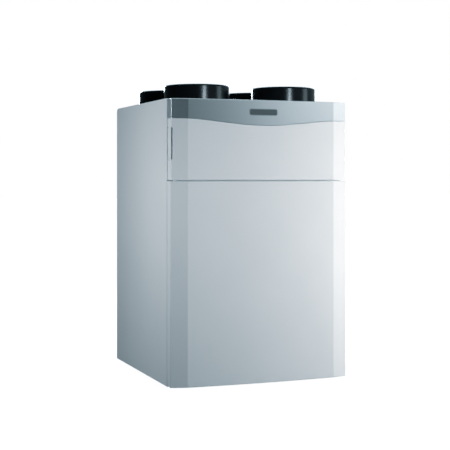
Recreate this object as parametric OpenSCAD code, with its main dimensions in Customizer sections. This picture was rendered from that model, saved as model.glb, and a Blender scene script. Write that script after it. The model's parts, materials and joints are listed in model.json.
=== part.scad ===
// Upright heat recovery ventilation unit with four duct collars on top.
// Frame: origin at the centre of the footprint on the floor plane, front towards -Y, +Z up, millimetres.

/* [Casing] */
// Overall width
body_w = 595; // [590:1:605]
// Depth of the side panels
side_d = 573; // [571:1:580]
// Height of the casing without the collars
body_h = 885; // [884:1:890]
// Corner radius at the top rear of the side panels
rear_r = 15; // [8:1:20]
// Thickness of the casing sheet
sheet = 1.2; // [1:0.1:1.4]

/* [Front] */
// How far the front corners stand in front of the side panels
return_d = 35; // [33:1:38]
// Width of the angled facet at each side of the front
facet_w = 51; // [45:1:56]
// Depth of the angled facet
facet_d = 15; // [12:1:18]
// Crown of the front between its facets
crown = 8; // [6:0.5:10]
// Wall of the front panels
shell = 2; // [1.6:0.1:2.4]
// Height of the lower front panel's top edge
lower_top = 630.2; // [628:0.1:631]
// Joint between the lower front panel and the upper cover
front_gap = 3.8; // [3:0.1:5]
// Mean height of the wave between the cover and the fascia band
wave_mid = 812.8; // [811:0.1:815]
// Half of the wave's height
wave_amp = 9.8; // [6:0.1:10]
// Half of the wave's length
wave_half = 280; // [250:1:290]
// How far the cover and the fascia band are set in from the sides
upper_inset = 2.5; // [2:0.1:3]

/* [Duct collars] */
// Bore radius of a collar
duct_r = 90; // [85:1:92]
// Outer radius of a collar
collar_r = 105.3; // [104:0.1:106]
// Height of the collars above the casing
collar_h = 50; // [40:1:60]
// Half of the distance between left and right collars
collar_x = 152; // [150:1:154]
// Distance of the front collars behind the side panels' front edge
collar_front = 135; // [133:1:137]
// Distance between front and rear collars
collar_pitch = 280; // [278:1:282]

/* [Heat exchanger] */
// Half width of the hexagonal exchanger
hex_w = 175; // [170:1:175]
// Half height of its upright sides
hex_side = 50; // [45:1:50]
// Height of its axis
hex_z = 372; // [370:1:374]
// Length of the exchanger
hex_len = 230; // [220:1:230]

/* [Filters] */
// Width of a filter
filter_w = 256; // [250:1:256]
// Length of a filter
filter_len = 290; // [280:1:290]
// Thickness of a filter
filter_t = 42; // [38:1:42]
// Height of the filters' lower faces
filter_z = 744; // [743:1:745]
// Pleats in one filter
pleats = 16; // [12:1:20]

/* [Fans] */
// Radius of the impellers
impeller_r = 95; // [90:1:95]
// Blades of an impeller
blades = 7; // [5:1:9]
// Height of the fan axes
fan_z = 195; // [194:1:196]

/* [Hidden] */

$fn = 96;
fit = 0.2;                                  // gap between neighbouring pieces
half_w = body_w / 2;
upper_w = half_w - upper_inset;             // half width of the cover and the fascia band
body_d = side_d + return_d + facet_d + crown;
y_rear = body_d / 2;
y_edge = y_rear - side_d;                   // front edge of the side panels
y_corner = y_edge - return_d;
y_facet = y_corner - facet_d;
y_crown = y_facet - crown;
knee_x = half_w - facet_w;                  // where a facet meets the crowned middle
crown_r = (knee_x * knee_x + crown * crown) / (2 * crown);
crown_cy = y_crown + crown_r;
facet_slope = facet_d / facet_w;
y_back = y_edge - 2 * fit;                  // rear edges of the front panels
cover_z = lower_top + front_gap;
band_gap = 0.5;                             // joint between the cover and the fascia band
band_top = body_h - 2;
panel_z = 2;                                // lower edge of the lower front panel

flange_w = 18;                              // front flange of a side panel
lip_w = 14;                                 // rear lip of a side panel
recess_d = 13.6;                            // depth of the recess at the rear
y_wall = y_rear - recess_d;                 // inner face of the back panel
frame_y = y_edge + sheet + fit;             // front face of the front frame
foam_y0 = frame_y + sheet + fit;
foam_y1 = y_wall - sheet - 2 * fit - 1;
foam_w = half_w - sheet - fit;
screw_r = 2;                                // casing screws: shank, length, clearance hole, head
screw_l = 3.2;
screw_hole_r = 2.2;
screw_head_r = 4;
screw_head_h = 2.2;
pan_z = 30;                                 // underside of the base pan's floor
foam_z0 = pan_z + sheet + fit;
foam_z1 = body_h - 2 * sheet - 2 * fit;
split_z = 330;                              // joint between the two foam blocks

collar_yf = y_edge + collar_front;
collar_yr = collar_yf + collar_pitch;
collar_z0 = body_h - 11.5;                  // underside of a collar's flange
flange_r = 115;
flange_t = 7;

hatch_w = 236;
hatch_z0 = 58;
hatch_z1 = 608;
hatch_y = y_edge + 16.5;                    // inner face of the foam hatch
core_y0 = hatch_y + 3;                      // front end of the exchanger
core_y1 = core_y0 + hex_len;
bay_y = core_y1 + 4;                        // shoulder behind the exchanger
hex_tip = hex_side + hex_w;
part_y = foam_y0 + 312.8;                   // front face of the wall before the fans
part_t = 18;
chamber_x = 224;                            // outer wall of the lower chambers
middle_x = 32;                              // half width of the wall between the air paths
tray_z = 72;
tray_h = 16;
upper_x = 268;                              // outer wall of the upper chambers
slot_x0 = 19;
slot_x1 = 281;
slot_z = filter_z - 3;
slot_h = filter_t + 6;

fan_y = part_y + part_t;                    // front wall of the fan chambers
fan_hole = 66;
bracket_y = fan_y + 102.5;

damper_x = -29;
damper_z = 638;
damper_h = 104;
damper_y = part_y - 58;                     // front side of the damper's opening
damper_d = 52;
shaft_r = 3;

box_w = 165;
box_z0 = 640;
box_z1 = 732;
box_y = y_edge - 28;                        // rear face of the control cover
key_r = 5;
key_z = 668;
key_pitch = 26;
key_x = 60;
loom_r = 4;
loom_z = 862;
loom_exit_z = 715;
inlet_y = 262;                              // mains inlet: place, half sizes of its body, depth
inlet_w = 24;
inlet_d = 14;
inlet_h = 30;
grommet_y = 215;                            // control cable grommet: place, neck and rim
grommet_neck_r = 6.8;
grommet_rim_r = 10;
grommet_bore_r = 4;

rail_z = 790;
rail_hole_x = 200;
rail_hole_z = 778;
drain_y = -90;
drain_r = 16;

white = "whitesmoke";
silver = "silver";
black = [0.06, 0.06, 0.065];
foam = [0.25, 0.26, 0.27];
steel = [0.72, 0.73, 0.74];

// Height of the front's plan outline at x, set in by t
function crown_y(x, t) = crown_cy - sqrt(pow(crown_r - t, 2) - x * x);

// Plan outline of the front with half width w, walls set in by t and rear edge at y
function front_points(w, t, y) =
    let(
        tilt = atan(facet_slope),
        knee = asin(knee_x / crown_r),
        mid = (tilt + knee) / 2,
        xk = knee_x - t * sin(mid) / cos(tilt - mid),
        xs = w - t,
        yc = y_corner - facet_slope * (half_w - xs) + t / cos(tilt),
        steps = 16
    )
    concat(
        [[-xs, y], [-xs, yc]],
        [for (i = [0:steps]) let(x = xk * (2 * i / steps - 1)) [x, crown_y(x, t)]],
        [[xs, yc], [xs, y]]
    );

// Height of the wave at x
function wave(x) = wave_mid - wave_amp * cos(180 * min(abs(x), wave_half) / wave_half);

// Hexagon of the exchanger, set in by t, in the plane of X and Z
function hex_points(t) =
    let(w = hex_w - t, tip = hex_tip - t * sqrt(2), side = tip - w)
    [[0, -tip], [w, -side], [w, side], [0, tip], [-w, side], [-w, -side]];

// A flat shape in X and Z, drawn from y0 to y1
module along_y(y0, y1) {
    translate([0, y1, 0]) rotate([90, 0, 0]) linear_extrude(y1 - y0) children();
}

// A round bar along Y
module rod_y(x, z, r, y0, y1) {
    translate([x, y1, z]) rotate([90, 0, 0]) cylinder(r = r, h = y1 - y0);
}

// A box between two corners
module block(a, b) {
    translate(a) cube(b - a);
}

module mirror_x() {
    children();
    mirror([1, 0, 0]) children();
}

module left() {
    mirror([1, 0, 0]) children();
}

module at_collars() {
    for (x = [-collar_x, collar_x], y = [collar_yf, collar_yr]) translate([x, y, 0]) children();
}

// ---- casing ----

// The right-hand side panel with its front flange, rear lip and fixing flanges
module side_panel() {
    x1 = half_w;
    xi = x1 - lip_w;
    cheek_top = body_h - sheet - fit;
    color(white) {
        translate([x1 - sheet, 0, 0]) rotate([90, 0, 90]) linear_extrude(sheet) side_outline(0);
        block([x1 - flange_w, y_edge, 0], [x1 - sheet, y_edge + sheet, body_h]);
        // rear lip, rolled over the rounded corner up to the top plate
        translate([xi, 0, 0]) rotate([90, 0, 90]) linear_extrude(lip_w - sheet) intersection() {
            difference() {
                side_outline(0);
                side_outline(sheet);
            }
            translate([y_wall + sheet + fit, 0]) square([recess_d, body_h]);
        }
        // cheek of the recess and the flange that the back panel is screwed to
        difference() {
            union() {
                translate([xi, 0, 0]) rotate([90, 0, 90]) linear_extrude(sheet) intersection() {
                    side_outline(sheet / 2);
                    translate([y_wall - sheet, 0]) square([recess_d + sheet, cheek_top]);
                }
                block([xi - lip_w, y_wall - sheet, 0], [xi, y_wall, body_h - rear_r]);
            }
            side_screws() rod_y(0, 0, screw_hole_r, y_wall - 5, y_wall + 5);
        }
        // flange that the top plate is screwed to
        difference() {
            block(
                [x1 - flange_w, y_edge + 20, body_h - 2 * sheet],
                [x1 - sheet, y_wall - 20, body_h - sheet]);
            top_screws() cylinder(r = screw_hole_r, h = 20, center = true);
        }
    }
}

// Outline of a side panel in Y and Z, its rear and top edges set in by t
module side_outline(t) {
    difference() {
        translate([y_edge, -t]) square([side_d - t, body_h]);
        translate([y_rear - rear_r, body_h - rear_r]) difference() {
            square(rear_r + 1);
            circle(rear_r - t);
        }
    }
}

// Places of the screws along the right side of the back panel, and of those in the top plate
module side_screws() {
    for (i = [0:4]) translate([half_w - lip_w - 7, 0, 60 + i * 190]) children();
}

module top_screws() {
    for (y = [y_edge + 35, y_wall - 35]) translate([half_w - 10, y, body_h - sheet]) children();
}

module back_panel() {
    w = half_w - lip_w - fit;
    color(white) difference() {
        block([-w, y_wall, panel_z], [w, y_wall + sheet, body_h - sheet - fit]);
        mirror_x() side_screws() rod_y(0, 0, screw_hole_r, y_wall - 5, y_wall + 5);
    }
}

module top_plate() {
    w = half_w - sheet - fit;
    color(white) difference() {
        block([-w, frame_y, body_h - sheet], [w, y_wall + sheet, body_h]);
        at_collars() translate([0, 0, body_h - 5]) cylinder(r = collar_r + 0.7, h = 10);
        mirror_x() top_screws() cylinder(r = screw_hole_r, h = 20, center = true);
        block(
            [-inlet_w - 0.5, inlet_y - inlet_d - 0.5, body_h - 5],
            [inlet_w + 0.5, inlet_y + inlet_d + 0.5, body_h + 5]);
        translate([0, grommet_y, body_h - 5]) cylinder(r = grommet_neck_r + fit, h = 10);
    }
}

// A tray turned upside down: its skirt lifts the floor off the ground and ends in an inward lip
module base_pan() {
    w = half_w - sheet - fit;
    y0 = frame_y;
    y1 = y_wall - sheet - fit;
    lip = 15;
    color(steel) difference() {
        block([-w, y0, 0], [w, y1, pan_z + sheet]);
        block([-w + sheet, y0 + sheet, sheet], [w - sheet, y1 - sheet, pan_z]);
        block([-w + lip, y0 + lip, -1], [w - lip, y1 - lip, sheet + 1]);
        translate([0, drain_y, pan_z - 5]) cylinder(r = drain_r + 0.6, h = 10);
    }
}

// The sheet behind the front panels, with openings for the hatch and the filters
module front_frame() {
    w = half_w - sheet - fit;
    z0 = pan_z + sheet + fit;
    color(steel) difference() {
        block([-w, frame_y, z0], [w, frame_y + sheet, body_h - 2 * sheet - fit]);
        block([-hatch_w - 4, frame_y - 1, hatch_z0 - 4], [hatch_w + 4, frame_y + 5, hatch_z1 + 4]);
        mirror_x() block(
            [slot_x0 - 1, frame_y - 1, slot_z - 3],
            [slot_x1 + 1, frame_y + 5, slot_z + slot_h + 3]);
        rod_y(0, loom_exit_z, 6, frame_y - 1, frame_y + 5);
    }
}

module casing_screws() {
    color(steel) mirror_x() {
        side_screws() {
            rod_y(0, 0, screw_r, y_wall + sheet - screw_l, y_wall + sheet);
            rod_y(0, 0, screw_head_r, y_wall + sheet, y_wall + sheet + screw_head_h);
        }
        top_screws() {
            translate([0, 0, sheet - screw_l]) cylinder(r = screw_r, h = screw_l);
            translate([0, 0, sheet]) cylinder(r = screw_head_r, h = screw_head_h);
        }
    }
}

// ---- front panels ----

// A column with the front's plan outline
module front_column(w, t, y, z0, z1) {
    translate([0, 0, z0]) linear_extrude(z1 - z0) polygon(front_points(w, t, y));
}

// A slab whose upper edge follows the wave, raised by dz
module wave_slab(z0, dz) {
    steps = 56;
    x1 = half_w + 5;
    along_y(y_crown - 20, y_edge + 20) polygon(concat(
        [for (i = [0:steps]) let(x = x1 * (2 * i / steps - 1)) [x, wave(x) + dz]],
        [[x1, z0], [-x1, z0]]
    ));
}

stud_x = 270;
stud_r = 4;
panel_stud_z = [60, 600];
cover_stud_z = [655, 806];
boss_r = 6.5;
boss_y = y_corner + 7.5;                    // rear faces of the bosses

// Stud bosses on the inside of a front panel, cut off inside the panel's wall
module stud_bosses(heights) {
    mirror_x() difference() {
        for (z = heights) rod_y(stud_x, z, boss_r, y_corner - 10, boss_y);
        difference() {
            block([200, y_crown - 30, 0], [half_w, y_edge, body_h]);
            front_column(half_w, shell / 2, y_edge + 20, -1, body_h + 1);
        }
    }
}

module ball_studs(heights) {
    color(steel) mirror_x() for (z = heights) {
        rod_y(stud_x, z, stud_r, boss_y, frame_y - 1.5);
    }
}

// A hollow pressed door with its edges turned back
module lower_front_panel() {
    color(white) {
        difference() {
            front_column(half_w, 0, y_back, panel_z, lower_top);
            front_column(half_w, shell, y_edge + 20, panel_z + shell, lower_top - shell);
        }
        stud_bosses(panel_stud_z);
    }
}

grip_z0 = 694;                              // lower and upper end of the grips
grip_z1 = 797;
grip_in = 3.8;                              // how far a grip wraps round the corner
grip_slot = 4;                              // slot between a finger plate and the corner
grip_plate_t = 1.6;
grip_sunk = 0.8;                            // how far a finger plate lies below the cover's surface

module grip_window() {
    r = 4;
    x0 = upper_w - grip_in;
    along_y(y_crown, y_edge + 10) union() {
        translate([x0 + r, grip_z0]) square([20, grip_z1 - grip_z0]);
        translate([x0, grip_z0 + r]) square([20, grip_z1 - grip_z0 - 2 * r]);
        for (z = [grip_z0 + r, grip_z1 - r]) translate([x0 + r, z]) circle(r);
    }
}

module upper_front_cover() {
    color(white) {
        difference() {
            intersection() {
                front_column(upper_w, 0, y_back, cover_z, body_h);
                wave_slab(cover_z - 1, 0);
            }
            intersection() {
                front_column(upper_w, shell, y_edge + 20, cover_z + shell, body_h);
                wave_slab(cover_z, -shell);
            }
            mirror_x() grip_window();
        }
        stud_bosses(cover_stud_z);
    }
}

// Finger plates in the windows, each with a base plate behind the cover's wall and a slot in front of it
module cover_grips() {
    base_x = upper_w - shell - fit;
    plate_x = upper_w - grip_sunk;
    y0 = y_corner + grip_slot;
    y1 = y_back - 1;
    color(white) mirror_x() {
        block([base_x - grip_plate_t, y0, grip_z0 - 6], [base_x, y1, grip_z1 + 6]);
        block([plate_x - grip_plate_t, y0, grip_z0 + 0.8], [plate_x, y1, grip_z1 - 0.8]);
    }
}

module stud_sockets() {
    color(black) mirror_x() for (z = concat(panel_stud_z, cover_stud_z)) difference() {
        rod_y(stud_x, z, stud_r + 4.5, frame_y - 7, frame_y - 0.1);
        rod_y(stud_x, z, stud_r + 0.1, frame_y - 8, frame_y + 1);
    }
}

plate_w = 94;
plate_h = 20;
plate_z = 845;

module plate_shape(grow) {
    r = plate_h / 2 - 4 + grow;
    w = plate_w / 2 + grow;
    h = plate_h / 2 + grow;
    translate([-w + r, plate_z - h]) square([2 * (w - r), 2 * h]);
    translate([-w, plate_z - h + r]) square([2 * w, 2 * (h - r)]);
    for (x = [-w + r, w - r], z = [plate_z - h + r, plate_z + h - r]) translate([x, z]) circle(r);
}

module fascia_band() {
    color(silver) difference() {
        front_column(upper_w, 0, y_back, wave_mid - 2 * wave_amp, band_top);
        wave_slab(0, band_gap);
        difference() {
            front_column(upper_w, shell, y_edge + 20, 0, band_top - shell);
            wave_slab(0, band_gap + shell);
        }
        along_y(y_crown - 5, y_crown + 1.2) plate_shape(0.6);
    }
}

module nameplate() {
    color([0.35, 0.36, 0.37]) along_y(y_crown, y_crown + 1.1) plate_shape(0);
}

// ---- duct collars ----

module collar(x, y) {
    top = body_h + collar_h;
    ro = 6;
    ri = 3;
    color(black) translate([x, y, 0]) rotate_extrude() {
        difference() {
            translate([duct_r, collar_z0]) square([collar_r - duct_r, top - collar_z0]);
            translate([collar_r - ro, top - ro]) difference() {
                square(ro + 1);
                circle(ro);
            }
            translate([duct_r + ri, top - ri]) difference() {
                translate([-ri - 1, 0]) square(ri + 1);
                circle(ri);
            }
        }
        translate([duct_r, collar_z0]) square([flange_r - duct_r, flange_t]);
    }
}

module collar_seals() {
    z0 = collar_z0 + flange_t + 0.1;
    color([0.12, 0.12, 0.12]) at_collars() translate([0, 0, z0]) difference() {
        cylinder(r = flange_r, h = body_h - sheet - 0.1 - z0);
        translate([0, 0, -1]) cylinder(r = collar_r + 0.7, h = 10);
    }
}

// ---- foam body ----

// The spaces that both foam blocks leave for air and parts
module air_spaces() {
    // exchanger bay and, behind it, the channel of the bypass
    along_y(foam_y0 - 5, bay_y) translate([0, hex_z]) polygon(hex_points(-2));
    along_y(core_y1 - 1, part_y) translate([0, hex_z]) polygon(hex_points(14));
    block([-18, bay_y, hex_z + 150], [24, part_y, damper_z + 68]);
    block(
        [-middle_x - 2, damper_y, damper_z - damper_h / 2 - 6],
        [-17, damper_y + damper_d, damper_z + damper_h / 2 + 6]);
    along_y(bay_y, part_y - 6) {
        s = hex_z - hex_tip;
        polygon([[40, s + 40], [150, s + 150], [130, s + 170], [20, s + 60]]);
    }
    // rebate of the hatch
    block([-hatch_w - 2, foam_y0 - 5, hatch_z0 - 2], [hatch_w + 2, hatch_y + 3, hatch_z1 + 2]);
    // tray
    block([-chamber_x, hatch_y, tray_z], [chamber_x, part_y, tray_z + tray_h + 0.5]);
    mirror_x() {
        // chambers below and above the exchanger
        low = hex_z - hex_side;
        high = hex_z + hex_side;
        along_y(hatch_y, part_y) polygon([
            [chamber_x, tray_z], [middle_x, tray_z], [middle_x, low - hex_w + middle_x],
            [hex_w, low], [chamber_x, low]
        ]);
        along_y(foam_y0 + 19, part_y) polygon([
            [upper_x, high], [hex_w, high], [middle_x, high + hex_w - middle_x],
            [middle_x, slot_z + 1], [upper_x, slot_z + 1]
        ]);
        // filter slot
        block([slot_x0, foam_y0 - 5, slot_z], [slot_x1, foam_y0 + 311, slot_z + slot_h]);
        // fan chamber and its inlet
        block([36, fan_y, tray_z - 10], [upper_x, fan_y + 194, split_z - 2]);
        rod_y(collar_x, fan_z, fan_hole, part_y - 1, fan_y + 1);
        // pockets of the top screws and probes
        top_screws() translate([0, 0, -4]) cylinder(r = 4, h = 10);
        for (y = [collar_yf, collar_yr])
            translate([0, y, loom_z - 14]) rotate([0, 90, 0]) cylinder(r = 3.1, h = 80);
    }
    // ducts up to the collars
    translate([0, 0, slot_z + slot_h - 1]) for (x = [-collar_x, collar_x]) translate([x, collar_yf, 0])
        cylinder(r = duct_r - 2, h = 200);
    for (x = [-collar_x, collar_x]) translate([x, collar_yr, split_z - 10]) cylinder(r = duct_r - 2, h = 700);
    at_collars() translate([0, 0, collar_z0 - fit]) cylinder(r = flange_r + 1, h = 20);
    // actuator, loom, mains inlet, grommet and drain
    block([-70, part_y - 1, damper_z - 36], [-9, part_y + 42, damper_z + 36]);
    rod_y(damper_x, damper_z, shaft_r + fit, damper_y, part_y);
    block([-7, foam_y0 - 5, loom_exit_z - 8], [7, foam_y0 + 14, loom_z + 6]);
    block([-7, foam_y0 + 4, loom_z - 20], [7, inlet_y, body_h]);
    translate([0, grommet_y, foam_z1 - 3]) cylinder(r = grommet_rim_r + 1, h = 10);
    block(
        [-inlet_w - 4, inlet_y - inlet_d - 5, body_h - inlet_h - 12],
        [inlet_w + 4, inlet_y + inlet_d + 5, body_h]);
    translate([0, drain_y, 0]) cylinder(r = drain_r + 1, h = tray_z + 1);
}

module foam_base() {
    color(foam) difference() {
        block([-foam_w, foam_y0, foam_z0], [foam_w, foam_y1, split_z]);
        air_spaces();
    }
}

module foam_top() {
    color(foam) difference() {
        block([-foam_w, foam_y0, split_z + fit], [foam_w, foam_y1, foam_z1]);
        air_spaces();
        mirror_x() block([half_w - flange_w - 1, y_edge + 18, foam_z1 - 1], [half_w, y_wall - 18, body_h]);
    }
}

module foam_hatch() {
    color(foam) difference() {
        block([-hatch_w, y_corner + 4.5, hatch_z0], [hatch_w, hatch_y, hatch_z1]);
        mirror_x() block([hatch_w - 26, y_corner + 3, hex_z - 60], [hatch_w + 1, y_corner + 20, hex_z + 60]);
    }
}

module hatch_seal() {
    rim = 6;
    color([0.12, 0.12, 0.12]) difference() {
        block([-hatch_w, hatch_y + 0.1, hatch_z0], [hatch_w, hatch_y + 2.9, hatch_z1]);
        block([-hatch_w + rim, hatch_y - 1, hatch_z0 + rim], [hatch_w - rim, hatch_y + 5, hatch_z1 - rim]);
    }
}

// ---- heat exchanger ----

end_t = 1.8;

module exchanger_core() {
    color([0.85, 0.87, 0.88]) translate([0, 0, hex_z])
        along_y(core_y0 + end_t, core_y1 - end_t) polygon(hex_points(2.4));
}

// End plates joined by strips along the hexagon's corners
module exchanger_frame() {
    color([0.15, 0.16, 0.17]) translate([0, 0, hex_z]) {
        along_y(core_y0, core_y0 + end_t) polygon(hex_points(0));
        along_y(core_y1 - end_t, core_y1) polygon(hex_points(0));
        along_y(core_y0, core_y1) intersection() {
            difference() {
                polygon(hex_points(0));
                polygon(hex_points(2.2));
            }
            union() {
                square([34, 3 * hex_tip], center = true);
                for (x = [-hex_w, hex_w]) translate([x, 0]) square([24, 3 * hex_tip], center = true);
            }
        }
    }
}

// Pull strap lying flat on the front end plate
module exchanger_strap() {
    color([0.1, 0.25, 0.6]) difference() {
        block([-60, core_y0 - 2.2, hex_z - 12], [60, core_y0 - 0.2, hex_z + 12]);
        block([-42, core_y0 - 0.8, hex_z - 13], [42, core_y0, hex_z + 13]);
    }
}

// ---- filters (drawn on the right) ----

filter_x0 = slot_x0 + 3;
filter_y0 = foam_y0 + 18.9;
frame_t = 4;

module filter_frame() {
    color([0.83, 0.80, 0.72]) difference() {
        block(
            [filter_x0, filter_y0, filter_z],
            [filter_x0 + filter_w, filter_y0 + filter_len, filter_z + filter_t]);
        block(
            [filter_x0 + frame_t, filter_y0 + frame_t, filter_z - 1],
            [filter_x0 + filter_w - frame_t, filter_y0 + filter_len - frame_t, filter_z + filter_t + 1]
        );
    }
}

// A folded sheet: the zigzag goes out along its upper side and back along its lower one
module filter_media() {
    x0 = filter_x0 + frame_t + 0.5;
    w = filter_w - 2 * frame_t - 1;
    t = 3;
    n = 2 * pleats;
    h = filter_t - 8 - t;
    zig = [for (i = [0:n]) [x0 + w * i / n, filter_z + 4 + h * (i % 2)]];
    color([0.93, 0.93, 0.90]) along_y(filter_y0 + frame_t + 0.5, filter_y0 + filter_len - frame_t - 0.5)
        polygon(concat([for (p = zig) p + [0, t]], [for (i = [n:-1:0]) zig[i]]));
}

// A plug that closes the filter slot, with a raised bar to pull it by
module filter_cap() {
    xm = (slot_x0 + slot_x1) / 2;
    y0 = y_edge - 5.5;
    color([0.2, 0.21, 0.22]) {
        block([slot_x0 + 1, y_edge - 0.5, slot_z + 1], [slot_x1 - 2, filter_y0 - 2, slot_z + slot_h - 1]);
        block([slot_x0 - 4, y0, slot_z - 5], [slot_x1 + 3.5, y_edge - 0.5, slot_z + slot_h + 5]);
        block([xm - 45, y0 - 9, slot_z + slot_h / 2 - 4], [xm + 45, y0, slot_z + slot_h / 2 + 4]);
    }
}

// ---- fans (drawn on the right) ----

module inlet_ring() {
    color([0.6, 0.62, 0.63]) translate([collar_x, part_y, fan_z]) rotate([-90, 0, 0]) rotate_extrude() {
        translate([fan_hole - 4, -3]) square([8, 2.8]);
        translate([fan_hole - 4, -3]) square([3.2, 28]);
    }
}

// Points of one backward-curved blade: an arc of radius rc drawn with thickness t
function blade_points(r0, r1, sweep, t) =
    let(
        n = 8,
        mid = [for (i = [0:n]) let(r = r0 + (r1 - r0) * i / n, a = -sweep * i / n) [r * cos(a), r * sin(a)]],
        lean = [for (i = [0:n]) let(a = -sweep * i / n - 50) [cos(a + 90), sin(a + 90)] * t / 2]
    )
    concat([for (i = [0:n]) mid[i] + lean[i]], [for (i = [n:-1:0]) mid[i] - lean[i]]);

module impeller() {
    depth = 52;
    color([0.12, 0.12, 0.13]) translate([collar_x, fan_y + 8, fan_z]) rotate([-90, 0, 0]) {
        // back plate and the cup that the motor turns
        difference() {
            union() {
                translate([0, 0, depth]) cylinder(r = impeller_r, h = 2.5);
                translate([0, 0, depth - 20]) cylinder(r = 48, h = 22);
            }
            translate([0, 0, depth - 17.5]) cylinder(r = 45, h = 30);
        }
        // shroud
        difference() {
            cylinder(r = impeller_r, h = 2.5);
            translate([0, 0, -1]) cylinder(r = fan_hole + 2, h = 5);
        }
        for (i = [0:blades - 1]) rotate([0, 0, 360 * i / blades]) translate([0, 0, 1])
            linear_extrude(depth) polygon(blade_points(50, impeller_r - 1, 38, 2.5));
    }
}

module fan_motor() {
    color([0.45, 0.47, 0.48]) {
        rod_y(collar_x, fan_z, 43, fan_y + 44, bracket_y - 4);
        rod_y(collar_x, fan_z, 52, bracket_y - 4, bracket_y - 0.1);
    }
}

module fan_bracket() {
    s = 84;
    color(steel) {
        difference() {
            block(
                [collar_x - s - 6, bracket_y, fan_z - s - 6],
                [collar_x + s + 6, bracket_y + 2, fan_z + s + 6]);
            rod_y(collar_x, fan_z, 30, bracket_y - 1, bracket_y + 3);
            for (a = [0:90:270]) translate([collar_x, 0, fan_z]) rotate([0, a, 0])
                block([40, bracket_y - 1, -34], [s - 10, bracket_y + 3, 34]);
        }
        for (x = [-s, s], z = [-s, s]) rod_y(collar_x + x, fan_z + z, 4, fan_y + 0.1, bracket_y);
    }
}

// ---- bypass ----

module bypass_frame() {
    h = damper_h / 2 + 5.6;
    color([0.2, 0.21, 0.22]) difference() {
        block([-42, damper_y + 0.3, damper_z - h], [-18.5, damper_y + damper_d - 0.3, damper_z + h]);
        block([-50, damper_y + 5, damper_z - h + 5], [-10, damper_y + damper_d - 5, damper_z + h - 5]);
        rod_y(damper_x, damper_z, shaft_r + 0.1, damper_y - 1, damper_y + damper_d + 1);
    }
}

module bypass_blade() {
    h = damper_h / 2 - 2;
    color([0.75, 0.76, 0.77]) {
        block(
            [damper_x - 1.5, damper_y + 6, damper_z - h],
            [damper_x + 1.5, damper_y + damper_d - 6, damper_z + h]);
        rod_y(damper_x, damper_z, shaft_r, damper_y + 1, part_y + 30);
    }
}

module bypass_actuator() {
    color([0.2, 0.21, 0.22]) difference() {
        block([-66, part_y + 1, damper_z - 32], [-12, part_y + 38, damper_z + 32]);
        rod_y(damper_x, damper_z, shaft_r + 0.1, part_y - 1, part_y + 32);
    }
}

// ---- condensate ----

module condensate_tray() {
    w = chamber_x - 1;
    y0 = hatch_y + 4;
    y1 = part_y - 1;
    wall = 2.5;
    color([0.2, 0.21, 0.22]) difference() {
        block([-w, y0, tray_z + 0.3], [w, y1, tray_z + tray_h]);
        block([-w + wall, y0 + wall, tray_z + 0.3 + wall], [w - wall, y1 - wall, tray_z + tray_h + 1]);
        translate([0, drain_y, tray_z - 1]) cylinder(r = 12, h = 10);
    }
}

module drain_stub() {
    color([0.2, 0.21, 0.22]) translate([0, drain_y, 0]) difference() {
        union() {
            translate([0, 0, 4]) cylinder(r = drain_r, h = tray_z - 4);
            translate([0, 0, pan_z - 3.2]) cylinder(r = 23, h = 3);
        }
        cylinder(r = drain_r - 3, h = tray_z + 1);
    }
}

// ---- controls ----

module control_box() {
    wall = 2;
    color([0.2, 0.21, 0.22]) difference() {
        block([-box_w, box_y + 0.1, box_z0], [box_w, y_edge - 0.3, box_z1]);
        block([-box_w + wall, box_y - 1, box_z0 + wall], [box_w - wall, y_edge - 0.3 - wall, box_z1 - wall]);
        rod_y(0, loom_exit_z, loom_r + 0.5, y_edge - 5, y_edge + 1);
    }
}

module control_cover() {
    color([0.3, 0.31, 0.33]) difference() {
        block([-box_w - 2, box_y - 3, box_z0 - 2], [box_w + 2, box_y, box_z1 + 2]);
        block([-52, box_y - 4, 680], [-0.5, box_y + 1, 712]);
        for (i = [0:2]) rod_y(key_x + i * key_pitch, key_z, key_r + 0.4, box_y - 4, box_y + 1);
    }
}

module circuit_board() {
    y = y_edge - 14;
    color([0.05, 0.35, 0.15]) block([-box_w + 8, y - 1.6, box_z0 + 8], [box_w - 8, y, box_z1 - 16]);
    color([0.1, 0.1, 0.1]) {
        for (i = [0:5]) block([-140 + i * 22, y - 9.6, box_z0 + 12], [-122 + i * 22, y - 1.6, box_z0 + 24]);
        block([-100, y - 5, box_z0 + 40], [-70, y - 1.6, box_z0 + 62]);
        block([122, y - 12, box_z0 + 32], [150, y - 1.6, box_z0 + 60]);
        for (i = [0:2]) rod_y(key_x + i * key_pitch, key_z, 3, box_y + 2.2, y - 1.6);
        for (x = [60, 78]) rod_y(x, box_z0 + 58, 6, y - 12, y - 1.6);
    }
}

module display_window() {
    color([0.1, 0.15, 0.2]) block([-51.8, box_y - 3.4, 680.2], [-0.7, box_y - 0.5, 711.8]);
}

module key(i) {
    color([0.75, 0.76, 0.77]) rod_y(key_x + i * key_pitch, key_z, key_r, box_y - 5, box_y + 1);
}

// A cable from the control box through the front frame, then up and back to the mains inlet
module wiring_loom() {
    y_up = foam_y0 + 7;
    color(black) {
        rod_y(0, loom_exit_z, loom_r, y_edge - 11, y_up);
        translate([0, y_up, loom_exit_z]) sphere(r = loom_r);
        translate([0, y_up, loom_exit_z]) cylinder(r = loom_r, h = loom_z - loom_exit_z);
        translate([0, y_up, loom_z]) sphere(r = loom_r);
        rod_y(0, loom_z, loom_r, y_up, inlet_y - 22);
    }
}

module sensor_probes() {
    color(steel) mirror_x() for (y = [collar_yf, collar_yr])
        translate([2, y, loom_z - 14]) rotate([0, 90, 0]) cylinder(r = 3, h = 76);
}

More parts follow.
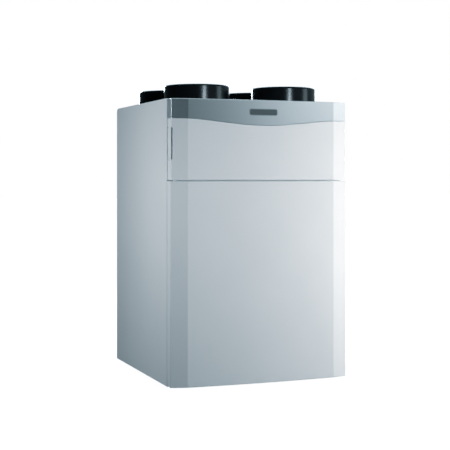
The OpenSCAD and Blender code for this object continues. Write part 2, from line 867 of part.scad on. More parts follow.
module mains_inlet() {
    pin = 1.2;
    color(black) difference() {
        union() {
            block(
                [-inlet_w - 4, inlet_y - inlet_d - 3, body_h + 0.1],
                [inlet_w + 4, inlet_y + inlet_d + 3, body_h + 3]);
            block([-inlet_w, inlet_y - inlet_d, body_h - inlet_h], [inlet_w, inlet_y + inlet_d, body_h + 1]);
        }
        block([-12.5, inlet_y - 8.5, body_h - 17], [12.5, inlet_y + 8.5, body_h + 4]);
    }
    color(steel) for (x = [-7, 0, 7]) block(
        [x - pin, inlet_y - 2.5 + (x == 0 ? 2.5 : -1), body_h - 17.5],
        [x + pin, inlet_y + 2.5 + (x == 0 ? 2.5 : -1), body_h - 3]
    );
}

module control_grommet() {
    color(black) translate([0, grommet_y, body_h]) difference() {
        union() {
            translate([0, 0, 0.1]) cylinder(r = grommet_rim_r, h = 3);
            translate([0, 0, -sheet - 0.5]) cylinder(r = grommet_neck_r, h = 3);
            translate([0, 0, -sheet - 2.6]) cylinder(r = grommet_rim_r, h = 2.5);
        }
        translate([0, 0, -10]) cylinder(r = grommet_bore_r, h = 20);
    }
}

// ---- wall fixing ----

// Z section screwed to the back panel; its lip hooks behind the wall rail's lip
module hanging_bracket() {
    y = y_wall + sheet + 0.1;
    w = 225;
    color(steel) {
        block([-w, y, rail_z + 24], [w, y + 1.5, rail_z + 52]);
        block([-w, y, rail_z + 22.5], [w, y + 6, rail_z + 24]);
        block([-w, y + 4.5, rail_z + 1.7], [w, y + 6, rail_z + 22.5]);
    }
}

module wall_rail() {
    y = y_rear - 2;
    color(steel) difference() {
        union() {
            block([-240, y, rail_z - 28], [240, y + 2, rail_z + 16]);
            block([-240, y - 9, rail_z], [240, y, rail_z + 1.5]);
            block([-240, y - 9, rail_z + 1.5], [240, y - 7.5, rail_z + 16]);
        }
        for (x = [-rail_hole_x, rail_hole_x]) rod_y(x, rail_hole_z, 4.5, y - 2, y + 4);
    }
}

module wall_buffers() {
    color(black) mirror_x() rod_y(rail_hole_x, 60, 12, y_wall + sheet + 0.1, y_rear);
}

left() side_panel();  // left_side_panel
side_panel();  // right_side_panel
back_panel();
top_plate();
base_pan();
front_frame();
lower_front_panel();
ball_studs(panel_stud_z);  // panel_studs
upper_front_cover();
cover_grips();
ball_studs(cover_stud_z);  // cover_studs
stud_sockets();
fascia_band();
nameplate();
casing_screws();
collar(-collar_x, collar_yf);  // collar_front_left
collar(collar_x, collar_yf);  // collar_front_right
collar(-collar_x, collar_yr);  // collar_rear_left
collar(collar_x, collar_yr);  // collar_rear_right
collar_seals();
foam_base();
foam_top();
foam_hatch();
hatch_seal();
exchanger_core();
exchanger_frame();
exchanger_strap();
left() filter_frame();  // filter_frame_left
filter_frame();  // filter_frame_right
left() filter_media();  // filter_media_left
filter_media();  // filter_media_right
left() filter_cap();  // filter_cap_left
filter_cap();  // filter_cap_right
left() inlet_ring();  // inlet_ring_left
inlet_ring();  // inlet_ring_right
left() impeller();  // impeller_left
impeller();  // impeller_right
left() fan_motor();  // fan_motor_left
fan_motor();  // fan_motor_right
left() fan_bracket();  // fan_bracket_left
fan_bracket();  // fan_bracket_right
bypass_frame();
bypass_blade();
bypass_actuator();
condensate_tray();
drain_stub();
control_box();
control_cover();
circuit_board();
display_window();
key(0);  // key_up
key(1);  // key_down
key(2);  // key_set
wiring_loom();
sensor_probes();
mains_inlet();
control_grommet();
hanging_bracket();
wall_rail();
wall_buffers();
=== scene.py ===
import json
import math

import bmesh
import bpy
from mathutils import Matrix, Vector


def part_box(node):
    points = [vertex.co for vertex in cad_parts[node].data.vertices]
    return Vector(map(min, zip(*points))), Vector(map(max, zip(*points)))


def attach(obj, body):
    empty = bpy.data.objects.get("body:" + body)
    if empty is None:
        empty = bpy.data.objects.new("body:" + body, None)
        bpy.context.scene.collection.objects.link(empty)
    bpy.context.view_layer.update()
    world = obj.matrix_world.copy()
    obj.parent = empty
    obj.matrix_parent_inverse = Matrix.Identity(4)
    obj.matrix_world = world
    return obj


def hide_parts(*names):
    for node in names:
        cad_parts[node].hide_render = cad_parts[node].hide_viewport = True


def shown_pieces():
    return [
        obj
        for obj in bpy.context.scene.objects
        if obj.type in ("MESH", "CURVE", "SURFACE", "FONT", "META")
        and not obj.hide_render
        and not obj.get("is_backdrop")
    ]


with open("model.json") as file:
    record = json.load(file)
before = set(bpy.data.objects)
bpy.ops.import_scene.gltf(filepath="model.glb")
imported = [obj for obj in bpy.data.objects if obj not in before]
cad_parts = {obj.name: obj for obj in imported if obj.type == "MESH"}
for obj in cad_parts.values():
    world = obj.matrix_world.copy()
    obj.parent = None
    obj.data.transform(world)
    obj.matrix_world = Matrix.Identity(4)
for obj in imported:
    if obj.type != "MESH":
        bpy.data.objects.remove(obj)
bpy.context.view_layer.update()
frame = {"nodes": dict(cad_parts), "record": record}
MM = 0.001

# ----------------------------------------
# Driving sizes. Places come from the CAD nodes' boxes; the rest are the front's own shape values.
# ----------------------------------------
SIDE_LO, SIDE_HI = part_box("right_side_panel")
PANEL_LO, PANEL_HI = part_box("lower_front_panel")
COVER_LO, COVER_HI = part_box("upper_front_cover")
BAND_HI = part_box("fascia_band")[1]
PLATE_LO, PLATE_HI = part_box("nameplate")
HALF_W = SIDE_HI.x
BODY_H = SIDE_HI.z
Y_EDGE = SIDE_LO.y                 # front edge of the side panels
Y_BACK = PANEL_HI.y                # rear edges of the front panels
RETURN_D = 35 * MM                 # side panels' front edge to the front's corners
FACET_W = 51 * MM
FACET_D = 15 * MM
CROWN = 8 * MM
KNEE_X = HALF_W - FACET_W
Y_CORNER = Y_EDGE - RETURN_D
Y_FACET = Y_CORNER - FACET_D
Y_CROWN = Y_FACET - CROWN
CROWN_R = (KNEE_X ** 2 + CROWN ** 2) / (2 * CROWN)
KNEE_R = 26 * MM                   # rounding between the crown and the facets
KNEE_CLEAR = 14 * MM               # how far inside the knees the crown's own points start
CORNER_R = 2.4 * MM                # rounding of the front's upright corners
MIN_R = 0.3 * MM
WAVE_MID = 812.8 * MM
WAVE_AMP = 9.8 * MM
WAVE_HALF = 280 * MM
BAND_GAP = 0.6 * MM                # joint between the cover and the fascia band
DOOR_SEAM = 1.8 * MM               # door's rear edges to the side panels
SHELL = 1.8 * MM                   # wall of the front panels
STUD_R = 4 * MM
STUD_BORE = 4.1 * MM               # of the bosses and sockets that hold the studs
DOOR_STUD_Z = (60 * MM, 600 * MM)
COVER_STUD_Z = (655 * MM, 806 * MM)
GRIP_Z = (694 * MM, 797 * MM)      # heights of the finger grips' windows
GRIP_IN = 3.8 * MM                 # how far the windows reach in from the cover's sides
GRIP_PLATE_T = 1.6 * MM
SCREW_HEAD_R = 4 * MM


def wave(x):
    """Height of the joint between the cover and the fascia band."""
    return WAVE_MID - WAVE_AMP * math.cos(math.pi * min(abs(x), WAVE_HALF) / WAVE_HALF)


# ----------------------------------------
# Materials
# ----------------------------------------
class Graph:
    """Builds a node tree line by line."""

    def __init__(self, tree):
        self.tree = tree

    def new(self, kind, **values):
        node = self.tree.nodes.new(kind)
        for key, value in values.items():
            if key in node.inputs:
                node.inputs[key].default_value = value
            else:
                setattr(node, key, value)
        return node

    def link(self, a, b):
        self.tree.links.new(a, b)

    def feed(self, value, socket):
        """Links a socket, or sets a plain value."""
        if isinstance(value, (int, float, tuple)):
            socket.default_value = value
        else:
            self.link(value, socket)

    def math(self, operation, *values):
        node = self.new("ShaderNodeMath", operation=operation)
        for value, socket in zip(values, node.inputs):
            self.feed(value, socket)
        return node.outputs[0]

    def mix(self, factor, a, b):
        node = self.new("ShaderNodeMix", data_type="RGBA")
        for key, value in (("Factor", factor), ("A", a), ("B", b)):
            self.feed(value, node.inputs[key])
        return node.outputs["Result"]

    def remap(self, value, low, high, to_low, to_high, interpolation="LINEAR"):
        node = self.new("ShaderNodeMapRange", interpolation_type=interpolation)
        for key, number in (("From Min", low), ("From Max", high), ("To Min", to_low), ("To Max", to_high)):
            node.inputs[key].default_value = number
        self.link(value, node.inputs["Value"])
        return node.outputs["Result"]


SHORT_INPUTS = {"Specular": "Specular IOR Level", "Coat": "Coat Weight", "Sheen": "Sheen Weight"}


class Nodes(Graph):
    """A material whose patterns follow the piece's own coordinates."""

    def __init__(self, name):
        self.mat = bpy.data.materials.new(name)
        self.mat.use_nodes = True
        super().__init__(self.mat.node_tree)
        self.bsdf = self.tree.nodes["Principled BSDF"]
        self.coord = self.tree.nodes.new("ShaderNodeTexCoord").outputs["Object"]

    def set(self, **values):
        for key, value in values.items():
            name = key.replace("_", " ")
            name = SHORT_INPUTS.get(name, name)
            self.bsdf.inputs[name].default_value = value

    def to(self, socket, name):
        self.link(socket, self.bsdf.inputs[name])

    def scaled(self, scale):
        node = self.new("ShaderNodeMapping")
        node.inputs["Scale"].default_value = scale if isinstance(scale, tuple) else (scale,) * 3
        self.link(self.coord, node.inputs["Vector"])
        return node.outputs["Vector"]

    def noise(self, scale, detail=3.0, rough=0.5):
        node = self.new("ShaderNodeTexNoise", Scale=1.0, Detail=detail, Roughness=rough)
        self.link(self.scaled(scale), node.inputs["Vector"])
        return node.outputs["Fac"]

    def cells(self, scale, feature="F1", out="Distance", jitter=1.0):
        node = self.new("ShaderNodeTexVoronoi", Scale=1.0, Randomness=jitter)
        node.feature = feature
        self.link(self.scaled(scale), node.inputs["Vector"])
        return node.outputs[out]

    def cell_tone(self, scale):
        """A random grey for each cell."""
        grey = self.new("ShaderNodeRGBToBW")
        self.link(self.cells(scale, out="Color"), grey.inputs["Color"])
        return grey.outputs["Val"]

    def waves(self, scale, axis):
        node = self.new("ShaderNodeTexWave", Scale=1.0, Distortion=0.0, Detail=0.0)
        node.bands_direction = axis
        self.link(self.scaled(scale), node.inputs["Vector"])
        return node.outputs["Fac"]

    def ramp(self, value, dark, light, low=0.3, high=0.7):
        node = self.new("ShaderNodeValToRGB")
        for stop, place, color in zip(node.color_ramp.elements, (low, high), (dark, light)):
            stop.position = place
            stop.color = (*color, 1)
        self.link(value, node.inputs["Fac"])
        return node.outputs["Color"]

    def tone(self, value, color, dark, light, *stops):
        """Base colour that runs between two shades of a colour."""
        self.to(self.ramp(value, shade(color, dark), shade(color, light), *stops), "Base Color")

    def rough(self, value, low, high):
        """Roughness that follows a noise between two levels."""
        self.to(self.remap(value, 0.3, 0.7, low, high), "Roughness")

    def bump(self, height, strength, distance):
        """Adds a bump on top of those already there."""
        node = self.new("ShaderNodeBump", Strength=strength, Distance=distance)
        self.link(height, node.inputs["Height"])
        normal = self.bsdf.inputs["Normal"]
        if normal.links:
            self.link(normal.links[0].from_socket, node.inputs["Normal"])
        self.link(node.outputs["Normal"], normal)


def shade(color, factor):
    """A colour made darker or lighter."""
    return tuple(min(1.0, c * factor) for c in color)


def powder_coat(name, color, rough):
    """Textured powder coat: fine orange peel, faint tone drift, a soft sheen."""
    m = Nodes(name)
    m.tone(m.noise(6.0), color, 0.985, 1.01)
    m.rough(m.noise(40.0), rough - 0.04, rough + 0.04)
    m.bump(m.noise(900.0, 2.0), 0.25, 0.0002)
    m.bump(m.noise(3500.0, 1.0), 0.12, 0.00008)
    m.set(Specular=0.42)
    return m.mat


def silver_lacquer(name, color, rough=0.30):
    """Metallic lacquer with small flakes that differ in tone."""
    m = Nodes(name)
    m.tone(m.cell_tone(2600.0), color, 0.93, 1.05, 0.1, 0.9)
    m.rough(m.noise(400.0), rough - 0.01, rough + 0.01)
    m.bump(m.noise(1200.0, 2.0), 0.06, 0.00008)
    m.set(Metallic=0.92, Coat=0.25, Coat_Roughness=0.12)
    return m.mat


def moulded_plastic(name, color, rough=0.4):
    """Moulded plastic: eroded grain, faint flow marks."""
    m = Nodes(name)
    m.tone(m.noise(12.0), color, 0.93, 1.07)
    m.rough(m.noise(55.0), rough - 0.05, rough + 0.06)
    m.bump(m.cells(1400.0), 0.15, 0.00012)
    m.set(Specular=0.5)
    return m.mat


def collar_plastic(name, color):
    """Satin black plastic with fine upright draw marks from its mould."""
    m = Nodes(name)
    m.tone(m.noise(25.0), color, 0.8, 1.25)
    streaks = m.noise((700.0, 700.0, 30.0), 4.0, 0.7)
    m.rough(streaks, 0.16, 0.24)
    m.bump(streaks, 0.35, 0.00018)
    m.bump(m.cells(1100.0), 0.2, 0.0001)
    m.set(Specular=0.04)
    return m.mat


def bead_foam(name, color):
    """Expanded bead foam: packed beads with dark seams and small pits."""
    m = Nodes(name)
    beads = 230.0
    tone = m.ramp(m.cell_tone(beads), shade(color, 0.75), shade(color, 1.5), 0.15, 0.85)
    seam = m.cells(beads, "DISTANCE_TO_EDGE")
    m.to(m.mix(m.remap(seam, 0.0, 0.09, 0.0, 1.0), (*shade(color, 0.35), 1), tone), "Base Color")
    m.bump(m.remap(seam, 0.0, 0.25, 0.0, 1.0), 0.7, 0.0006)
    m.bump(m.noise(1800.0, 2.0), 0.2, 0.0002)
    m.set(Roughness=0.72, Specular=0.3)
    return m.mat


def zinc_steel(name, color):
    """Galvanised sheet: spangle with fine rolling lines."""
    m = Nodes(name)
    spangle = m.cell_tone(90.0)
    m.tone(spangle, color, 0.82, 1.08, 0.1, 0.9)
    m.to(m.remap(spangle, 0.0, 1.0, 0.30, 0.46), "Roughness")
    m.bump(m.noise((40.0, 40.0, 2500.0), 2.0), 0.12, 0.0001)
    m.set(Metallic=1.0)
    return m.mat


def soft_rubber(name, color):
    """Matt rubber with a fine grain."""
    m = Nodes(name)
    m.tone(m.noise(30.0), color, 0.7, 1.5)
    m.bump(m.noise(1500.0, 3.0), 0.3, 0.0002)
    m.set(Roughness=0.7, Specular=0.35, Sheen=0.1)
    return m.mat


def polymer_sheet(name, color):
    """Thin formed exchanger sheets, slightly translucent."""
    m = Nodes(name)
    m.tone(m.noise(14.0), color, 0.92, 1.04)
    m.rough(m.noise(120.0), 0.28, 0.42)
    m.bump(m.noise(500.0, 2.0), 0.2, 0.0002)
    m.set(Specular=0.5, Subsurface_Weight=0.05)
    return m.mat


def card(name, color):
    """Fibre board of the filter frames."""
    m = Nodes(name)
    fibre = m.noise((300.0, 900.0, 300.0), 5.0, 0.7)
    m.tone(fibre, color, 0.82, 1.1, 0.35, 0.65)
    m.bump(fibre, 0.3, 0.0002)
    m.set(Roughness=0.88, Specular=0.2)
    return m.mat


def fleece(name, color):
    """Matted filter fibres."""
    m = Nodes(name)
    fibre = m.noise(600.0, 8.0, 0.75)
    m.tone(fibre, color, 0.78, 1.05, 0.35, 0.7)
    m.bump(fibre, 0.6, 0.0005)
    m.set(Roughness=0.95, Specular=0.1, Sheen=0.5)
    return m.mat


def webbing(name, color):
    """Flat woven strap."""
    m = Nodes(name)
    threads = 2200.0
    weave = m.math("MULTIPLY", m.waves(threads, "X"), m.waves(threads, "Z"))
    m.tone(weave, color, 0.6, 1.5, 0.1, 0.8)
    m.bump(weave, 0.6, 0.0004)
    m.set(Roughness=0.85, Sheen=0.2)
    return m.mat


def cast_metal(name, color):
    """Rough cast alloy."""
    m = Nodes(name)
    m.tone(m.noise(80.0, 4.0), color, 0.85, 1.1)
    m.rough(m.noise(300.0), 0.42, 0.6)
    m.bump(m.noise(1400.0, 3.0), 0.3, 0.0002)
    m.set(Metallic=0.9)
    return m.mat


def circuit_green(name, color):
    """Solder mask over faint tracks."""
    m = Nodes(name)
    tracks = m.cells(260.0, "DISTANCE_TO_EDGE", jitter=0.25)
    m.tone(tracks, color, 1.6, 1.0, 0.04, 0.09)
    m.bump(m.remap(tracks, 0.03, 0.08, 1.0, 0.0), 0.3, 0.00008)
    m.set(Roughness=0.3, Specular=0.5)
    return m.mat


def dark_glass(name, color):
    """Smoked display window."""
    m = Nodes(name)
    m.tone(m.noise(9.0), color, 0.9, 1.2)
    m.rough(m.noise(200.0), 0.05, 0.12)
    m.set(Specular=0.6, Coat=0.6)
    return m.mat


WHITE = (0.81, 0.815, 0.82)
MATERIALS = {
    "white_paint": powder_coat("white_powder_coat", WHITE, 0.52),
    "cover_plastic": powder_coat("white_cover_lacquer", shade(WHITE, 1.01), 0.50),
    "silver_lacquer": silver_lacquer("silver_flake_lacquer", (0.70, 0.735, 0.755)),
    "badge": silver_lacquer("badge_dark_metal", (0.17, 0.175, 0.18), 0.34),
    "black_plastic": collar_plastic("collar_black", (0.0012, 0.0012, 0.0014)),
    "grey_plastic": moulded_plastic("grey_moulded", (0.085, 0.09, 0.095)),
    "foam": bead_foam("bead_foam", (0.045, 0.047, 0.05)),
    "zinc_steel": zinc_steel("zinc_sheet", (0.66, 0.68, 0.70)),
    "rubber_seal": soft_rubber("black_rubber", (0.018, 0.018, 0.018)),
    "exchanger_sheet": polymer_sheet("exchanger_polymer", (0.78, 0.81, 0.83)),
    "filter_card": card("filter_board", (0.66, 0.55, 0.38)),
    "filter_fleece": fleece("filter_fleece", (0.90, 0.90, 0.87)),
    "strap_web": webbing("strap_webbing", (0.03, 0.10, 0.36)),
    "cast_metal": cast_metal("cast_alloy", (0.46, 0.47, 0.48)),
    "board": circuit_green("board_green", (0.012, 0.13, 0.045)),
    "display": dark_glass("display_glass", (0.015, 0.03, 0.035)),
    "key_cap": moulded_plastic("key_grey", (0.55, 0.57, 0.59), 0.45),
}
SMOOTH_ANGLE = 35.0                # degrees; sharper edges stay sharp
FULL_WEIGHT = 100
NODE_SLOT = {s["node"]: s["material_slot"] for s in frame["record"]["subparts"]}
NODE_BODY = {n: b for b, ns in frame["record"]["behaviour"]["bodies"].items() for n in ns}


# ----------------------------------------
# Mesh helpers
# ----------------------------------------
def link_mesh(name, bm):
    """Links a new object made from a bmesh and frees the bmesh."""
    mesh = bpy.data.meshes.new(name)
    bm.to_mesh(mesh)
    bm.free()
    obj = bpy.data.objects.new(name, mesh)
    bpy.context.scene.collection.objects.link(obj)
    return obj


def make_object(name, bm, node, slot=None, smooth=SMOOTH_ANGLE, replace=True):
    """Turns a bmesh into a piece that rides on a CAD node's body and, with replace, stands for the node."""
    face_outwards(bm)
    obj = link_mesh(name, bm)
    slot = slot or NODE_SLOT[node]
    obj.data.materials.append(MATERIALS[slot])
    obj.data.shade_smooth()
    obj.data.set_sharp_from_angle(angle=math.radians(smooth))
    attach(obj, NODE_BODY[node])
    if replace:
        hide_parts(node)
    return obj


def apply_modifiers(obj):
    """Bakes an object's modifiers into its mesh."""
    graph = bpy.context.evaluated_depsgraph_get()
    graph.update()
    made = bpy.data.meshes.new_from_object(obj.evaluated_get(graph), depsgraph=graph)
    obj.modifiers.clear()
    old = obj.data
    obj.data = made
    bpy.data.meshes.remove(old)


def add_bevel(obj, width, segments, angle):
    """Rounds the edges and keeps the large faces' own normals."""
    mod = obj.modifiers.new("edge", "BEVEL")
    mod.width = width
    mod.segments = segments
    mod.limit_method = "ANGLE"
    mod.angle_limit = math.radians(angle)
    even = obj.modifiers.new("even", "WEIGHTED_NORMAL")
    even.weight = FULL_WEIGHT
    even.keep_sharp = True


def middle(lo, hi):
    """Centre of a box in X, Y and Z."""
    return ((a + b) / 2 for a, b in zip(lo, hi))


def add_box(bm, lo, hi):
    """A box between two corners; returns its vertices."""
    lo, hi = Vector(lo), Vector(hi)
    made = bmesh.ops.create_cube(bm, size=1.0)["verts"]
    for v in made:
        v.co = Vector([lo[i] + (v.co[i] + 0.5) * (hi[i] - lo[i]) for i in range(3)])
    return made


def rounded_box(bm, lo, hi, radius, segments=3):
    """A box with all its edges rounded."""
    verts = add_box(bm, lo, hi)
    edges = list({e for v in verts for e in v.link_edges})
    bmesh.ops.bevel(bm, geom=edges, offset=radius, segments=segments, profile=0.5, affect="EDGES",
                    clamp_overlap=True)


def add_revolve(bm, profile, centre, axis, segments, closed=True):
    """Revolves (radius, height) points about an upright (Z) or level (Y) axis through centre."""
    rings = []
    for r, h in profile:
        ring = []
        for i in range(segments):
            a = 2 * math.pi * i / segments
            u, v = r * math.cos(a), r * math.sin(a)
            p = {"Z": (u, v, h), "Y": (u, h, v)}[axis]
            ring.append(bm.verts.new(Vector(centre) + Vector(p)))
        rings.append(ring)
    join_rings(bm, rings + rings[:1] if closed else rings)
    return rings


def merge(bm, part):
    """Adds one bmesh to another and frees it."""
    mesh = bpy.data.meshes.new("part")
    part.to_mesh(mesh)
    part.free()
    bm.from_mesh(mesh)
    bpy.data.meshes.remove(mesh)


def cap_rings(bm, rings):
    """Closes the first and the last ring of a revolve."""
    for ring in (rings[0], rings[-1]):
        bm.faces.new(ring)


def face_outwards(bm):
    """Turns all normals outwards."""
    bmesh.ops.recalc_face_normals(bm, faces=bm.faces[:])


def join_rings(bm, rings):
    """Skins closed rings of equal length, one to the next."""
    for a, b in zip(rings, rings[1:]):
        for i, vert in enumerate(a):
            j = (i + 1) % len(a)
            bm.faces.new((vert, a[j], b[j], b[i]))


def arc(cx, cy, r, a0, a1, steps):
    """Points on an arc, angles in degrees."""
    out = []
    for i in range(steps + 1):
        a = math.radians(a0 + (a1 - a0) * i / steps)
        out.append((cx + r * math.cos(a), cy + r * math.sin(a)))
    return out


def rounded_rect(cx, cy, w, h, r, steps=6):
    """Outline of a rounded rectangle."""
    out = []
    for sx, sy, a in ((1, 1, 0), (-1, 1, 90), (-1, -1, 180), (1, -1, 270)):
        out += arc(cx + sx * (w / 2 - r), cy + sy * (h / 2 - r), r, a, a + 90, steps)
    return out


def add_slab(bm, outline, y0, y1, edge=0.0):
    """A slab with an outline in X and Z between y0 and y1; its front rim at y0 is rounded by edge."""
    cx = sum(p[0] for p in outline) / len(outline)
    cz = sum(p[1] for p in outline) / len(outline)
    half_x = max(abs(p[0] - cx) for p in outline)
    half_z = max(abs(p[1] - cz) for p in outline)
    steps = 2 if edge else 0
    rings = []
    for k in range(steps + 1):
        a = math.radians(90 * k / steps) if edge else math.pi / 2
        inset = edge * (1 - math.sin(a))
        y = y0 + edge * (1 - math.cos(a))
        sx, sz = (half_x - inset) / half_x, (half_z - inset) / half_z
        rings.append([bm.verts.new((cx + (x - cx) * sx, y, cz + (z - cz) * sz)) for x, z in outline])
    rings.append([bm.verts.new((x, y1, z)) for x, z in outline])
    join_rings(bm, rings)
    cap_rings(bm, rings)
    face_outwards(bm)


def dress_cad(node, bevel, segments=2):
    """Gives a CAD node its material and rounds its edges."""
    obj = frame["nodes"][node]
    slot = NODE_SLOT[node]
    obj.data.materials.clear()
    obj.data.materials.append(MATERIALS[slot])
    if bevel:
        weld = obj.modifiers.new("weld", "WELD")
        weld.merge_threshold = 0.02 * MM
        add_bevel(obj, bevel, segments, SMOOTH_ANGLE)


# ----------------------------------------
# Front panels: one skin follows the plan outline of the front
# ----------------------------------------
def fillet(a, b, c, radius, steps):
    """Arc points that round the corner b between a and c, in 2-D."""
    a, b, c = Vector(a), Vector(b), Vector(c)
    u, v = (a - b).normalized(), (c - b).normalized()
    half = u.angle(v) / 2
    reach = radius / math.tan(half)
    centre = b + (u + v).normalized() * (radius / math.sin(half))
    start, end = b + u * reach, b + v * reach
    r0, r1 = start - centre, end - centre
    total = r0.angle(r1)
    turn = 1 if r0.x * r1.y - r0.y * r1.x > 0 else -1
    out = []
    for i in range(steps + 1):
        t = turn * total * i / steps
        out.append(centre + Vector((r0.x * math.cos(t) - r0.y * math.sin(t),
                                    r0.x * math.sin(t) + r0.y * math.cos(t))))
    return out


def front_outline(half_w, corner_r, inset):
    """Plan outline from the left rear edge round the front to the right rear edge, moved in by inset."""
    side_n = Vector((-1, 0))
    facet_n = Vector((-FACET_D, -FACET_W)).normalized()
    front_n = Vector((-KNEE_X / CROWN_R, -1)).normalized()

    def moved(point, n1, n2):
        return Vector(point) - (n1 + n2) * (inset / (1 + n1.dot(n2)))

    def crown(x):
        return Vector((x, Y_CROWN + CROWN_R - math.sqrt((CROWN_R - inset) ** 2 - x ** 2)))

    back = Vector((inset - half_w, Y_BACK))
    corner = moved((-half_w, Y_CORNER - FACET_D / FACET_W * (HALF_W - half_w)), side_n, facet_n)
    knee = moved((-KNEE_X, Y_FACET), facet_n, front_n)
    reach = KNEE_X - KNEE_CLEAR
    steps, crown_steps = 6, 44
    left = [back]
    left += fillet(back, corner, knee, max(corner_r - inset, MIN_R), steps)
    left += fillet(corner, knee, crown(-reach), KNEE_R - inset, steps)
    front = [crown(-reach + 2 * reach * i / crown_steps) for i in range(crown_steps + 1)]
    right = [Vector((-p.x, p.y)) for p in reversed(left)]
    return left + front + right


def outline_normals(points):
    """Outward normals of the plan outline; its two ends face straight out to the sides."""
    out = []
    for i in range(len(points)):
        a, b = points[max(i - 1, 0)], points[min(i + 1, len(points) - 1)]
        d = (b - a).normalized()
        out.append(Vector((d.y, -d.x)))
    out[0], out[-1] = Vector((-1, 0)), Vector((1, 0))
    out[1], out[-2] = Vector((-1, 0)), Vector((1, 0))
    return out


def front_skin(bm, half_w, low, high, radii, inset=0.0):
    """One surface of a front panel, open at the back; returns its open edge.

    low and high are heights as functions of x; radii are those of the lower, upper and upright edges.
    """
    low_r, high_r = (max(r - inset, MIN_R) for r in radii[:2])
    points = front_outline(half_w, radii[2], inset)
    normals = outline_normals(points)
    levels = []
    bends = 5
    for k in range(bends + 1):
        a = math.radians(90 - 90 * k / bends)
        levels.append((low_r * (1 - math.cos(a)), 0, inset + low_r * (1 - math.sin(a))))
    for k in range(bends + 1):
        a = math.radians(90 * k / bends)
        levels.append((high_r * (1 - math.cos(a)), 1, -inset - high_r * (1 - math.sin(a))))
    grid = []
    for depth, share, lift in levels:
        row = []
        for p, n in zip(points, normals):
            z = low(p.x) + (high(p.x) - low(p.x)) * share + lift
            row.append(bm.verts.new((p.x - n.x * depth, p.y - n.y * depth, z)))
        grid.append(row)
    for a, b in zip(grid, grid[1:]):
        for i in range(len(points) - 1):
            bm.faces.new((a[i], a[i + 1], b[i + 1], b[i]))
    last = len(points) - 2
    rears = []
    for row in (grid[0], grid[-1]):
        rear = [bm.verts.new((v.co.x, Y_BACK, v.co.z)) for v in row[2:last]]
        line = [row[0]] + rear + [row[-1]]
        for i in range(1, last):
            bm.faces.new((row[i], row[i + 1], line[i], line[i - 1]))
        rears.append(rear)
    left = [row[0] for row in grid]
    right = [row[-1] for row in reversed(grid)]
    return left + rears[1] + right + rears[0][::-1]


def front_panel(name, node, half_w, low, high, radii, cutters=(), rim=0.35 * MM, seam=0.0):
    """A hollow front panel: outer and inner skin, optional cut-outs, a fine break on the cut edges.

    seam is how far its rear edges stay clear of the side panels.
    """
    bm = bmesh.new()
    outer = front_skin(bm, half_w, low, high, radii)
    inner = front_skin(bm, half_w, low, high, radii, SHELL)
    for i, vert in enumerate(outer):
        j = (i + 1) % len(outer)
        bm.faces.new((vert, outer[j], inner[j], inner[i]))
    for vert in outer + inner:
        vert.co.y -= seam
    cut_out(make_object(name, bm, node), cutters, rim)


def cut_out(obj, cutters, rim=0.0, weighted=True):
    """Takes the cutters out of a piece, optionally breaks its edges, and bakes the result."""
    for cutter in cutters:
        cut = obj.modifiers.new("cut", "BOOLEAN")
        cut.operation = "DIFFERENCE"
        cut.object = cutter
        cut.solver = "EXACT"
    if rim:
        add_bevel(obj, rim, segments=2, angle=50.0)
    elif weighted:
        even = obj.modifiers.new("even", "WEIGHTED_NORMAL")
        even.weight = FULL_WEIGHT
    apply_modifiers(obj)
    for cutter in cutters:
        bpy.data.objects.remove(cutter)


def cutter_object(outline, y0, y1):
    """A slab that is only used to cut."""
    bm = bmesh.new()
    add_slab(bm, outline, y0, y1)
    return link_mesh("cutter", bm)


def stud_bosses(bm, heights):
    """Round bosses inside a front panel that carry its snap studs."""
    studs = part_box("cover_studs")
    outer = 6.4 * MM
    x = studs[1].x - STUD_R
    wall_y = Y_CORNER - FACET_D / FACET_W * (HALF_W - x) + SHELL
    length = studs[0].y - wall_y
    profile = [(outer, 0), (outer, length), (STUD_BORE, length), (STUD_BORE, 0)]
    for side in (-1, 1):
        for z in heights:
            add_revolve(bm, profile, (side * x, wall_y, z), "Y", 32)


def grip_windows():
    """Cutters for the windows of the finger grips, open to the cover's sides."""
    width, corner = 30 * MM, 3.4 * MM
    clear = 5 * MM
    cz = sum(GRIP_Z) / 2
    windows = []
    for side in (-1, 1):
        cx = side * (COVER_HI.x - GRIP_IN + width / 2)
        outline = rounded_rect(cx, cz, width, GRIP_Z[1] - GRIP_Z[0], corner)
        windows.append(cutter_object(outline, Y_CROWN - clear, Y_BACK + clear))
    return windows


def build_front():
    """Door, cover and fascia band, and the bosses behind the door and the cover."""
    front_panel("lower_front_panel_skin", "lower_front_panel", HALF_W,
                lambda x: PANEL_LO.z, lambda x: PANEL_HI.z,
                (2.2 * MM, 0.6 * MM, CORNER_R), seam=DOOR_SEAM)
    front_panel("upper_front_cover_skin", "upper_front_cover", COVER_HI.x,
                lambda x: COVER_LO.z, wave,
                (0.4 * MM, 0.5 * MM, CORNER_R), grip_windows(), 0.75 * MM)
    front_panel("fascia_band_skin", "fascia_band", COVER_HI.x,
                lambda x: wave(x) + BAND_GAP, lambda x: BAND_HI.z,
                (0.5 * MM, 2.4 * MM, 1.2 * MM))
    for name, node, heights in (
        ("lower_panel_bosses", "lower_front_panel", DOOR_STUD_Z),
        ("cover_bosses", "upper_front_cover", COVER_STUD_Z),
    ):
        bm = bmesh.new()
        stud_bosses(bm, heights)
        make_object(name, bm, node, replace=False)


